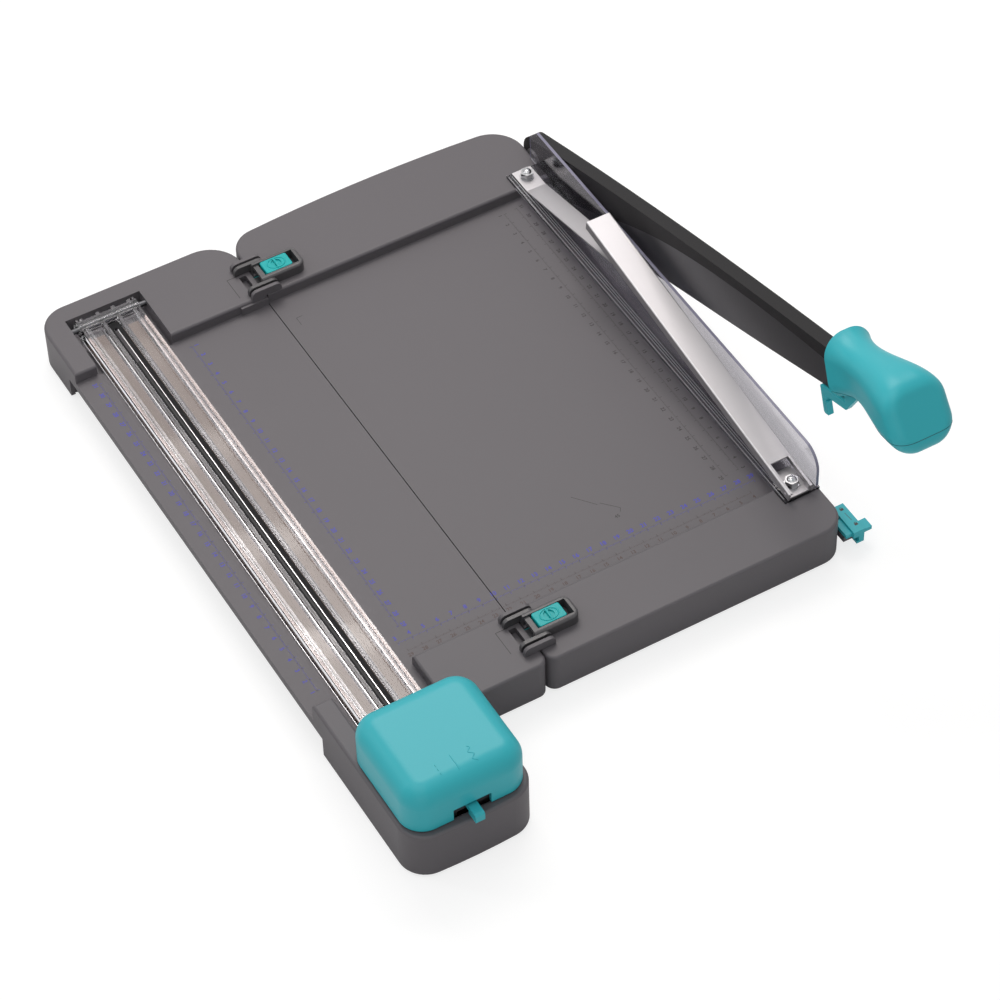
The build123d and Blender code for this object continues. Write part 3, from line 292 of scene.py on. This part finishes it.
clearRail = makeFinish(
    "clearRail",
    {
        "group": brushedLines,
        "surface": clearSurface,
        "bump": 0.006,
        "depth": 0.02,
        "shader": {
            "Base Color": (0.950, 0.945, 0.965, 1),
            "Transmission Weight": 1.0,
            "IOR": 1.49,
            "Specular IOR Level": 1.0,
        },
        "lightPass": (0.9, 0.9, 0.9, 1),
    },
)
clearGuard = makeFinish(
    "clearGuard",
    {
        "group": brushedLines,
        "surface": clearSurface,
        "bump": 0.02,
        "depth": 0.02,
        "shader": {"Base Color": (0.840, 0.830, 0.885, 1), "Transmission Weight": 1.0, "IOR": 1.49},
        "lightPass": (0.8, 0.8, 0.82, 1),
    },
)
# painted shade: a near-black finish for the clear rail's slot floor, where the slot lies in shade
slotShadePaint = makeFinish(
    "slotShadePaint",
    {
        "group": brushedLines,
        "surface": {
            "Color": (0.012, 0.012, 0.013, 1),
            "Tone": 0.3,
            "Stretch": (2200.0, 14.0, 2200.0),
            "Rough": 0.45,
            "Span": 0.25,
        },
        "bump": 0.2,
        "depth": 0.04,
        "shader": {"Specular IOR Level": 0.12},
    },
)
frostedStrip = makeFinish(
    "frostedStrip",
    {
        "group": brushedLines,
        "surface": {
            "Color": (0.400, 0.332, 0.305, 1),
            "Tone": 0.04,
            "Stretch": (900.0, 1800.0, 900.0),
            "Rough": 0.2,
            "Span": 0.06,
        },
        "bump": 0.015,
        "depth": 0.04,
        "shader": {"Specular IOR Level": 1.0, "IOR": 1.9, "Specular Tint": (1.0, 0.90, 0.85, 1)},
    },
)
# painted light: a pale violet-grey for the top edges of the clear guard's wall, standing for the
# light those edges catch
guardEdgeLightPaint = makeFinish(
    "guardEdgeLightPaint",
    {
        "group": mouldedGrain,
        "surface": {
            "Color": (0.330, 0.320, 0.440, 1),
            "Tone": 0.1,
            "Blotch": 60.0,
            "Rough": 0.15,
            "Span": 0.1,
        },
        "bump": 0.05,
        "depth": 0.02,
        "shader": {"Transmission Weight": 0.35, "IOR": 1.45},
    },
)
satinSteel = makeFinish(
    "satinSteel",
    {
        "group": brushedLines,
        "surface": {
            "Color": (0.430, 0.418, 0.430, 1),
            "Tone": 0.04,
            "Stretch": (2400.0, 22.0, 2400.0),
            "Rough": 0.42,
            "Span": 0.16,
        },
        "bump": 0.05,
        "depth": 0.02,
        "shader": {"Metallic": 1.0},
    },
)
dullSteel = makeFinish(
    "dullSteel",
    {
        "group": brushedLines,
        "surface": {
            "Color": (0.300, 0.295, 0.305, 1),
            "Tone": 0.08,
            "Stretch": (30.0, 1800.0, 1800.0),
            "Rough": 0.32,
            "Span": 0.2,
        },
        "bump": 0.05,
        "depth": 0.02,
        "shader": {"Metallic": 1.0},
    },
)
brightSteel = makeFinish(
    "brightSteel",
    {
        "group": mouldedGrain,
        "surface": {
            "Color": (0.42, 0.42, 0.43, 1),
            "Tone": 0.03,
            "Grain": 900.0,
            "Rough": 0.06,
            "Span": 0.08,
        },
        "bump": 0.04,
        "depth": 0.02,
        "shader": {"Metallic": 1.0},
    },
)
bladeSteel = makeFinish(
    "bladeSteel",
    {
        "group": brushedLines,
        "surface": {
            "Color": (0.085, 0.085, 0.090, 1),
            "Tone": 0.1,
            "Stretch": (60.0, 3000.0, 60.0),
            "Rough": 0.26,
            "Span": 0.2,
        },
        "bump": 0.08,
        "depth": 0.02,
        "shader": {"Metallic": 1.0},
    },
)
turretPlastic = makeFinish(
    "turretPlastic",
    {
        "group": mouldedGrain,
        "surface": {"Color": (0.70, 0.69, 0.65, 1), "Tone": 0.03, "Rough": 0.42, "Span": 0.12},
        "bump": 0.12,
        "depth": 0.05,
    },
)
armBlack = makeFinish(
    "armBlack",
    {
        "group": mouldedGrain,
        "surface": {
            "Color": (0.012, 0.011, 0.012, 1),
            "Tone": 0.08,
            "Blotch": 22.0,
            "Grain": 1300.0,
            "Rough": 0.42,
            "Span": 0.16,
        },
        "bump": 0.2,
        "depth": 0.05,
        "shader": {"Specular IOR Level": 0.18},
    },
)


def makeInk(name, colour):
    return makeFinish(
        name,
        {
            "group": mouldedGrain,
            "surface": {"Color": colour, "Tone": 0.12, "Blotch": 300.0, "Rough": 0.5, "Span": 0.1},
            "bump": 0.1,
            "depth": 0.02,
        },
    )


blueInk = makeInk("blueInk", (0.055, 0.055, 0.400, 1))
brownInk = makeInk("brownInk", (0.066, 0.038, 0.035, 1))
darkInk = makeInk("darkInk", (0.032, 0.028, 0.030, 1))
print("finishes made:", len(bpy.data.materials))

nodeFinishes = {
    "left_base": boardGrey,
    "right_base": boardGrey,
    "lock_bracket": boardGrey,
    "front_latch_housing": latchGrey,
    "rear_latch_housing": latchGrey,
    "front_latch_keeper": boardGrey,
    "rear_latch_keeper": boardGrey,
    "carriage": darkPlastic,
    "head_cover": tealPlastic,
    "selector_tab": tealPlastic,
    "handle_upper": tealPlastic,
    "handle_lower": tealPlastic,
    "lock_slider": tealPlastic,
    "front_latch_button": brightTeal,
    "rear_latch_button": brightTeal,
    "left_feet": footRubber,
    "right_feet": footRubber,
    "cutting_strip": cuttingMat,
    "trimmer_rail": clearRail,
    "safety_guard": clearGuard,
    "rail_hinge_pin": bladeSteel,
    "pivot_bolt": dullSteel,
    "pivot_washer": dullSteel,
    "spring_washer": dullSteel,
    "blade_screws": dullSteel,
    "grip_strips": frostedStrip,
    "clamp_nuts": brightSteel,
    "clamp_washers": brightSteel,
    "straight_wheel": bladeSteel,
    "perforating_wheel": bladeSteel,
    "wavy_wheel": bladeSteel,
    "ledger_blade": bladeSteel,
    "arm_blade": bladeSteel,
    "blade_turret": turretPlastic,
    "cutter_arm": armBlack,
}
for name, node in nodes.items():
    node.data.materials.clear()
    node.data.materials.append(nodeFinishes.get(name, satinSteel))


def finishFaces(node, material, chosen):
    # a second finish on the faces of one node that lie in the chosen zone
    node.data.materials.append(material)
    second = len(node.data.materials) - 1
    for face in node.data.polygons:
        if chosen(face.center / mm, face.normal):
            face.material_index = second


slotZone = {"half": 4.6, "low": 27.0, "high": 28.2, "upward": 0.9}
guardWall = {"in": 315.4, "low": 34.6, "sideways": 0.5}
buttonEdge = 104.8


def onSlotFloor(at, way):
    inZone = abs(at.x) < slotZone["half"] and slotZone["low"] < at.z < slotZone["high"]
    return inZone and way.z > slotZone["upward"]


def onGuardEdge(at, way):
    onWall = at.x > guardWall["in"] and at.z > guardWall["low"]
    return onWall and abs(way.x) < guardWall["sideways"]


def onButtonTongue(at, way):
    return at.x < buttonEdge


# painted shade on the floor of the rail's slot
finishFaces(nodes["trimmer_rail"], slotShadePaint, onSlotFloor)
# painted light on the top edges of the guard's clear wall
finishFaces(nodes["safety_guard"], guardEdgeLightPaint, onGuardEdge)
for name in ("front_latch_button", "rear_latch_button"):
    finishFaces(nodes[name], latchGrey, onButtonTongue)
print("finishes given to the nodes")


def deselectAll():
    if bpy.context.object and bpy.context.object.mode != "OBJECT":
        bpy.ops.object.mode_set(mode="OBJECT")
    bpy.ops.object.select_all(action="DESELECT")


def applyPlace():
    bpy.ops.object.transform_apply(location=True, rotation=True, scale=True)


def applyModifiers(piece):
    for modifier in list(piece.modifiers):
        bpy.ops.object.modifier_apply(modifier=modifier.name)


def addBlock(size, place, turn=0):
    deselectAll()
    bpy.ops.mesh.primitive_cube_add(size=1, location=place)
    block = bpy.context.object
    block.scale = size
    block.rotation_euler.z = turn
    applyPlace()
    return block


def addRing(radius, wire, steps, place, stretch):
    deselectAll()
    bpy.ops.mesh.primitive_torus_add(
        major_radius=radius * mm,
        minor_radius=wire * mm,
        major_segments=steps[0],
        minor_segments=steps[1],
        location=place,
    )
    bpy.context.object.scale = stretch
    applyPlace()
    return bpy.context.object


def softenEdges(piece, width, steps):
    edge = piece.modifiers.new("soft", "BEVEL")
    edge.width = width * mm
    edge.segments = steps
    applyModifiers(piece)


weldGap = 0.01  # mm


def copyWelded(source, name):
    # a node's mesh is loose triangles, so the corners of the copy are merged
    piece = bpy.data.objects.new(name, source.data.copy())
    bpy.context.collection.objects.link(piece)
    deselectAll()
    piece.select_set(True)
    bpy.context.view_layer.objects.active = piece
    bpy.ops.object.mode_set(mode="EDIT")
    bpy.ops.mesh.select_all(action="SELECT")
    bpy.ops.mesh.remove_doubles(threshold=weldGap * mm)
    bpy.ops.object.mode_set(mode="OBJECT")
    return piece


def joinPieces(pieces, name):
    deselectAll()
    for piece in pieces:
        piece.select_set(True)
    bpy.context.view_layer.objects.active = pieces[0]
    bpy.ops.object.join()
    joined = bpy.context.object
    joined.name = name
    joined.data.name = name
    return joined


def finishPiece(piece, material, body):
    piece.data.materials.clear()
    piece.data.materials.append(material)
    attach(piece, body)


# Ruler print: plain numbers with a scale of ticks beside each row
printWork = {
    "thick": 0.06 * mm,
    "sink": 0.02 * mm,
    "tickWide": 0.26 * mm,
    "bold": 0.022,
    "curveSteps": 3,
}
rulerStep = 10  # mm from one number to the next
tickKinds = ((1, 0.7), (5, 1.2), (10, 2.2))  # pitch and length in mm
bedTop = 24


def printZ(top):
    # the height of print on a face, given in mm
    return top * mm + printWork["thick"] / 2 - printWork["sink"]


def inkBox(wide, deep, place):
    return addBlock((wide, deep, printWork["thick"]), place)


def inkNumber(label, size, place, turn):
    deselectAll()
    bpy.ops.object.text_add(location=place, rotation=(0, 0, turn))
    text = bpy.context.object.data
    text.body = label
    text.size = size
    text.align_x = "CENTER"
    text.align_y = "CENTER"
    text.resolution_u = printWork["curveSteps"]
    text.offset = printWork["bold"] * size
    text.extrude = printWork["thick"] / 2
    bpy.ops.object.convert(target="MESH")
    applyPlace()
    return bpy.context.object


def tickRow(start, step, count, long, across):
    # one tick at the start of the row, repeated along it by an array
    wide, deep = (printWork["tickWide"], long) if across else (long, printWork["tickWide"])
    tick = inkBox(wide, deep, start)
    array = tick.modifiers.new("repeat", "ARRAY")
    array.count = count
    array.use_relative_offset = False
    array.use_constant_offset = True
    array.constant_offset_displace = step
    applyModifiers(tick)
    return tick


def makeScale(name, row):
    first = Vector(row["first"] + (0,)) * mm
    first.z = printZ(bedTop)
    along = Vector(row["along"] + (0,))
    aside = Vector(row["ticksAt"] + (0,)) * mm
    across = row["along"][0] != 0
    turn = 0 if across else -math.pi / 2
    made = []
    for i in range(row["count"]):
        spot = first + along * (rulerStep * mm * i)
        made.append(inkNumber(str(row["label"] + i), row["size"] * mm, spot, turn))
    shortest = tickKinds[0][1]
    for pitch, long in tickKinds:
        count = (row["count"] - 1) * rulerStep // pitch + 1
        start = first + aside + aside.normalized() * ((long - shortest) / 2 * mm)
        made.append(tickRow(start, along * (pitch * mm), count, long * mm, across))
    finishPiece(joinPieces(made, name), row["ink"], "boards")


rulerRows = {
    "frontRuler": {
        "first": (30, 98),
        "along": (1, 0),
        "ticksAt": (0, -4),
        "count": 27,
        "label": 3,
        "size": 4.4,
        "ink": blueInk,
    },
    "leftRuler": {
        "first": (-33.5, 86.9),
        "along": (0, 1),
        "ticksAt": (3, 0),
        "count": 31,
        "label": 1,
        "size": 4.2,
        "ink": blueInk,
    },
    "railRuler": {
        "first": (40.2, 385.7),
        "along": (0, -1),
        "ticksAt": (-3, 0),
        "count": 29,
        "label": 1,
        "size": 4.2,
        "ink": blueInk,
    },
    "cutRuler": {
        "first": (282.6, 82),
        "along": (-1, 0),
        "ticksAt": (0, 3.6),
        "count": 26,
        "label": 4,
        "size": 3.8,
        "ink": brownInk,
    },
    "guardRuler": {
        "first": (290, 107),
        "along": (0, 1),
        "ticksAt": (-3.4, 0),
        "count": 29,
        "label": 3,
        "size": 3.6,
        "ink": darkInk,
    },
    "bedRuler": {
        "first": (273, 386.4),
        "along": (0, -1),
        "ticksAt": (3.4, 0),
        "count": 29,
        "label": 1,
        "size": 3.6,
        "ink": darkInk,
    },
}
for name, row in rulerRows.items():
    makeScale(name, row)
print("ruler print made")


# Angle mark and corner mark on the bed, as bare lines
bedMarks = {
    "lines": [
        ((182.8, 141.9), (193.9, 127.8)),
        ((195.9, 128.2), (205.1, 118.1)),
        ((205.1, 118.1), (203.3, 115.2)),
        ((108.6, 373.2), (108.6, 366.0)),
        ((108.6, 373.2), (113.0, 373.2)),
    ],
    "wide": 0.35,
    "angle": ("45", (199.7, 112.9), 3.6),
}


def inkLine(start, end, wide, top):
    a, b = (Vector(spot + (0,)) * mm for spot in (start, end))
    middle = (a + b) / 2
    size = ((b - a).length, wide * mm, printWork["thick"])
    return addBlock(size, (middle.x, middle.y, printZ(top)), math.atan2(b.y - a.y, b.x - a.x))


def makeBedMarks(marks):
    made = [inkLine(start, end, marks["wide"], bedTop) for start, end in marks["lines"]]
    label, (x, y), size = marks["angle"]
    made.append(inkNumber(label, size * mm, (x * mm, y * mm, printZ(bedTop)), 0))
    finishPiece(joinPieces(made, "bedMarks"), darkInk, "boards")


makeBedMarks(bedMarks)

# Raised signs on the head: a dashed, a straight and a wavy cut
headSigns = {
    "top": 71.0,
    "roundStart": -38.3,
    "round": 13.0,
    "high": 0.3,
    "wide": 0.7,
    "roundSteps": 2,
    "dashed": (-13.8, -32.0, -42.2),
    "dashes": 3,
    "dashShare": 0.45,
    "dashSteps": 2,
    "straight": (-2.7, -30.2, -42.0),
    "straightSteps": 12,
    "wavy": (9.0, -29.6, -41.8),
    "wavySteps": 36,
    "waves": 2.25,
    "sway": 1.3,
}


def headTopZ(y, signs):
    inward = max(0.0, signs["roundStart"] - y)
    return signs["top"] - signs["round"] + math.sqrt(signs["round"] ** 2 - inward**2)


def ridgeAlong(points, signs):
    # a swept curve whose round profile is half sunk in the cover
    deselectAll()
    curve = bpy.data.curves.new("ridge", "CURVE")
    curve.dimensions = "3D"
    curve.bevel_depth = signs["wide"] / 2 * mm
    curve.bevel_resolution = signs["roundSteps"]
    curve.use_fill_caps = True
    line = curve.splines.new("POLY")
    line.points.add(len(points) - 1)
    for spot, (x, y, z) in zip(line.points, points):
        spot.co = (x * mm, y * mm, z * mm, 1)
    ridge = bpy.data.objects.new("ridge", curve)
    bpy.context.collection.objects.link(ridge)
    ridge.select_set(True)
    bpy.context.view_layer.objects.active = ridge
    bpy.ops.object.convert(target="MESH")
    return bpy.context.object


def signRidge(signs, line, steps, sway=0.0):
    # a line given as x, first y and last y, laid on the head's top
    x, start, end = line
    sunk = signs["high"] - signs["wide"] / 2
    points = []
    for i in range(steps + 1):
        aside = sway * math.sin(2 * math.pi * signs["waves"] * i / steps)
        y = start + (end - start) * i / steps
        points.append((x + aside, y, headTopZ(y, signs) + sunk))
    return ridgeAlong(points, signs)


def makeHeadSigns(signs):
    made = []
    x, start, end = signs["dashed"]
    pitch = (end - start) / signs["dashes"]
    for i in range(signs["dashes"]):
        dash = (x, start + pitch * i, start + pitch * (i + signs["dashShare"]))
        made.append(signRidge(signs, dash, signs["dashSteps"]))
    made.append(signRidge(signs, signs["straight"], signs["straightSteps"]))
    made.append(signRidge(signs, signs["wavy"], signs["wavySteps"], signs["sway"]))
    finishPiece(joinPieces(made, "headSigns"), tealPlastic, "head")


makeHeadSigns(headSigns)

# Oval rim and finger bar on each latch button
buttonGrip = {
    "x": 114.75,
    "top": 40.2,
    "ring": (6.2, 4.6),
    "ringSteps": (48, 10),
    "wire": 0.45,
    "wide": 1.5,
    "high": 1.0,
    "soft": 0.3,
    "softSteps": 3,
    "smoothAngle": 40,
}
latchRows = {"rear": 411.4, "front": 54.3}


def makeButtonGrip(name, y, body, grip):
    ringX, ringY = grip["ring"]
    place = (grip["x"] * mm, y * mm, grip["top"] * mm)
    ring = addRing(ringX, grip["wire"], grip["ringSteps"], place, (1, ringY / ringX, 1))
    bar = addBlock((grip["wide"] * mm, 2 * ringY * mm, grip["high"] * mm), place)
    softenEdges(bar, grip["soft"], grip["softSteps"])
    piece = joinPieces([ring, bar], name)
    bpy.ops.object.shade_smooth_by_angle(angle=math.radians(grip["smoothAngle"]))
    finishPiece(piece, brightTeal, body)


for row, y in latchRows.items():
    makeButtonGrip(row + "ButtonGrip", y, row + "_latch", buttonGrip)

# Moulded corner line round each keeper, on its left and rear edges
keeperLines = {"left": 82.0, "half": 9.5, "reach": 9.0, "top": 32.0, "wide": 0.5}


def makeKeeperLines(lines):
    left, wide, top = lines["left"], lines["wide"], lines["top"]
    made = []
    for y in latchRows.values():
        rear = y + lines["half"]
        made.append(inkLine((left, y - lines["half"]), (left, rear), wide, top))
        made.append(inkLine((left, rear), (left + lines["reach"], rear), wide, top))
    finishPiece(joinPieces(made, "keeperLines"), darkInk, "boards")


makeKeeperLines(keeperLines)

# Frosted bands under the rail's outer edges
railBands = {
    "in": 18.9,
    "out": 22.7,
    "front": -20.0,
    "back": 424.0,
    "top": 25.1,
    "thick": 0.5,
    "soft": 0.18,
    "softSteps": 2,
}


def makeRailBands(bands):
    size = Vector((bands["out"] - bands["in"], bands["back"] - bands["front"], bands["thick"]))
    across = (bands["in"] + bands["out"]) / 2
    middleY = (bands["front"] + bands["back"]) / 2
    middleZ = bands["top"] - bands["thick"] / 2
    made = []
    for side in (-1, 1):
        band = addBlock(size * mm, Vector((side * across, middleY, middleZ)) * mm)
        softenEdges(band, bands["soft"], bands["softSteps"])
        made.append(band)
    finishPiece(joinPieces(made, "railBands"), frostedStrip, "rail")


makeRailBands(railBands)

# Padlock signs and a line on the lock's slider
lockSigns = {
    "top": 17.5,
    "locks": ((327.3, 48.7), (328.4, 33.9)),
    "line": ((327.3, 45.4), (327.8, 38.2)),
    "lineWide": 0.35,
    "body": (2.4, 1.8),
    "bow": 0.8,
    "bowWire": 0.2,
    "bowSteps": (16, 6),
    "flatten": 0.2,
}


def makeLockSigns(signs):
    z = printZ(signs["top"])
    wide, deep = signs["body"]
    made = [inkLine(*signs["line"], signs["lineWide"], signs["top"])]
    for x, y in signs["locks"]:
        made.append(inkBox(wide * mm, deep * mm, (x * mm, y * mm, z)))
        place = (x * mm, (y + deep / 2) * mm, z)
        stretch = (1, 1, signs["flatten"])
        made.append(addRing(signs["bow"], signs["bowWire"], signs["bowSteps"], place, stretch))
    finishPiece(joinPieces(made, "lockSigns"), darkInk, "lock")


makeLockSigns(lockSigns)


def makeSpringLeaf():
    leaf = copyWelded(nodes["spring_strip"], "springLeaf")
    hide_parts("spring_strip")
    finishPiece(leaf, satinSteel, "boards")
    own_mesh(leaf)


makeSpringLeaf()

# Light lines along the guard's flange, painted highlights where its grooves catch the light
guardHighlightLines = {
    "across": (292.3, 294.6, 296.2, 297.8),
    "from": 63.0,
    "to": 407.0,
    "top": 34.0,
    "wide": 0.28,
}
# painted highlight: a pale, glossy grey for the lines on the guard's flange
grooveHighlightPaint = makeFinish(
    "grooveHighlightPaint",
    {
        "group": mouldedGrain,
        "surface": {
            "Color": (0.520, 0.530, 0.560, 1),
            "Tone": 0.2,
            "Blotch": 40.0,
            "Rough": 0.12,
            "Span": 0.1,
        },
        "bump": 0.05,
        "depth": 0.02,
    },
)


def makeGuardHighlightLines(lines):
    made = []
    for x in lines["across"]:
        made.append(inkLine((x, lines["from"]), (x, lines["to"]), lines["wide"], lines["top"]))
    finishPiece(joinPieces(made, "guardHighlightLines"), grooveHighlightPaint, "boards")


makeGuardHighlightLines(guardHighlightLines)

# Line where the two shells of the handle meet
partingWork = {"offset": 0.12, "thick": 0.22, "roundSteps": 1, "downward": -0.9}
seamTeal = makeFinish(
    "seamTeal",
    {
        "group": mouldedGrain,
        "surface": {"Color": (0.010, 0.110, 0.130, 1), "Tone": 0.06, "Rough": 0.5, "Span": 0.1},
        "bump": 0.1,
        "depth": 0.02,
    },
)


def shellSeam(shell, downward):
    # the shell's underside is the widest face that looks mostly down
    under = [face for face in shell.data.polygons if face.normal.z < downward]
    flat = max(under, key=lambda face: face.area)
    return flat.center.copy(), flat.normal.copy()


def keepLongest(curve):
    # the outline stays, the edges of the screw holes and the tang's pocket go
    def lengthOf(spline):
        spots = [point.co.to_3d() for point in spline.points]
        return sum((b - a).length for a, b in zip(spots, spots[1:]))

    longest = max(curve.splines, key=lengthOf)
    for spline in [other for other in curve.splines if other != longest]:
        curve.splines.remove(spline)


def makePartingLine(work):
    shell = nodes["handle_upper"]
    place, way = shellSeam(shell, work["downward"])
    copyWelded(shell, "partingLine")
    bpy.ops.object.mode_set(mode="EDIT")
    bpy.ops.mesh.select_all(action="SELECT")
    bpy.ops.mesh.bisect(
        plane_co=place - way * work["offset"] * mm,
        plane_no=way,
        clear_inner=True,
        clear_outer=True,
    )
    bpy.ops.object.mode_set(mode="OBJECT")
    bpy.ops.object.convert(target="CURVE")
    seam = bpy.context.object.data
    keepLongest(seam)
    seam.bevel_depth = work["thick"] * mm
    seam.bevel_resolution = work["roundSteps"]
    bpy.ops.object.convert(target="MESH")
    finishPiece(bpy.context.object, seamTeal, "arm")


makePartingLine(partingWork)
print("marks, signs, button grips, bands, grooves, seam and spring leaf made")


# Camera at the photograph's place
cameraView = {
    "place": (-632.474, -1240.2, 1829.978),
    "right": (0.864001, -0.5030945, -0.0199527),
    "down": (-0.3878054, -0.6396871, -0.6636319),
    "forward": (0.3211061, 0.5811164, -0.7477931),
    "lens": 136.784,
    "sensor": 36,
    "clip": (0.05, 50),
}


def placeCamera(view):
    deselectAll()
    bpy.ops.object.camera_add()
    camera = bpy.context.object
    camera.data.sensor_width = view["sensor"]
    camera.data.lens = view["lens"]
    camera.data.clip_start, camera.data.clip_end = view["clip"]
    right, down, forward = (Vector(view[key]) for key in ("right", "down", "forward"))
    turned = Matrix((right, -down, -forward)).transposed().to_4x4()
    camera.matrix_world = Matrix.Translation(Vector(view["place"]) * mm) @ turned
    bpy.context.scene.camera = camera


placeCamera(cameraView)

lamps = {
    "topSoftbox": {"place": (-0.25, 0.05, 1.7), "size": (1.4, 1.2), "power": 7.0},
    "frontFill": {"place": (-0.9, -1.5, 0.9), "size": (1.5, 1.2), "power": 3.4},
    "sideStrip": {"place": (-0.8, 0.85, 0.9), "size": (0.12, 0.9), "power": 1.6},
}
aim = Vector((0.14, 0.2, 0.03))
# a softbox behind, built from panels that grow dimmer towards the back
rearPanels = {
    "count": 7,
    "first": (0.42, 0.66, 1.26),
    "last": (0.40, 1.42, 1.08),
    "size": (1.0, 0.14),
    "power": 2.6,
    "fade": 0.93,
    "tint": (1.0, 0.955, 0.92),
}


def hangLamp(name, lamp):
    deselectAll()
    bpy.ops.object.light_add(type="AREA", location=lamp["place"])
    light = bpy.context.object
    light.name = name
    light.data.shape = "RECTANGLE"
    light.data.size, light.data.size_y = lamp["size"]
    light.data.energy = lamp["power"]
    light.data.color = lamp.get("tint", (1, 1, 1))
    light.rotation_mode = "QUATERNION"
    light.rotation_quaternion = (aim - Vector(lamp["place"])).to_track_quat("-Z", "Y")


def hangRearPanels(panels):
    for i in range(panels["count"]):
        share = i / (panels["count"] - 1)
        panel = {
            "place": Vector(panels["first"]).lerp(Vector(panels["last"]), share),
            "size": panels["size"],
            "power": panels["power"] * (1 - panels["fade"] * share),
            "tint": panels["tint"],
        }
        hangLamp(f"rearPanel{i + 1}", panel)


for name, lamp in lamps.items():
    hangLamp(name, lamp)
hangRearPanels(rearPanels)

# White surroundings that light the object less than they show
worldLight = {"ambient": 0.34, "seen": 1.0}


def makeWorld(light):
    world = bpy.data.worlds.new("whiteStudio")
    bpy.context.scene.world = world
    world.use_nodes = True
    tree = world.node_tree
    path = addNode(tree, "ShaderNodeLightPath")
    seen = addNode(
        tree,
        "ShaderNodeMath",
        {0: path.outputs["Is Camera Ray"], 1: path.outputs["Is Transmission Ray"]},
        operation="MAXIMUM",
    )
    either = addNode(
        tree,
        "ShaderNodeMath",
        {0: seen.outputs[0], 1: path.outputs["Is Glossy Ray"]},
        operation="MAXIMUM",
    )
    level = addNode(
        tree,
        "ShaderNodeMapRange",
        {"Value": either.outputs[0], "To Min": light["ambient"], "To Max": light["seen"]},
    )
    back = tree.nodes["Background"]
    back.inputs["Color"].default_value = (1, 1, 1, 1)
    tree.links.new(level.outputs["Result"], back.inputs["Strength"])


makeWorld(worldLight)

# Pale table: mostly glow to the camera, the rest shows the shadow
tableTop = {"wide": 10, "drop": 0.2, "grey": 0.86, "rough": 0.7, "glow": 1.2, "shadowShare": 0.38}


def makeFloor(table):
    deselectAll()
    bpy.ops.mesh.primitive_plane_add(size=table["wide"], location=(0, 0, -table["drop"] * mm))
    floor = bpy.context.object
    floor.name = "tableTop"
    paint = bpy.data.materials.new("paleTable")
    paint.use_nodes = True
    tree = paint.node_tree
    shader = tree.nodes["Principled BSDF"]
    shader.inputs["Base Color"].default_value = (table["grey"],) * 3 + (1,)
    shader.inputs["Roughness"].default_value = table["rough"]
    path = addNode(tree, "ShaderNodeLightPath")
    glow = addNode(tree, "ShaderNodeEmission", {"Color": (1, 1, 1, 1), "Strength": table["glow"]})
    share = addNode(
        tree,
        "ShaderNodeMath",
        {0: path.outputs["Is Camera Ray"], 1: 1 - table["shadowShare"]},
        operation="MULTIPLY",
    )
    mix = addNode(
        tree,
        "ShaderNodeMixShader",
        {0: share.outputs[0], 1: shader.outputs[0], 2: glow.outputs[0]},
    )
    tree.links.new(mix.outputs[0], tree.nodes["Material Output"].inputs["Surface"])
    floor.data.materials.append(paint)


makeFloor(tableTop)
bpy.context.scene.view_settings.view_transform = "Standard"
print("camera, lamps and table set")
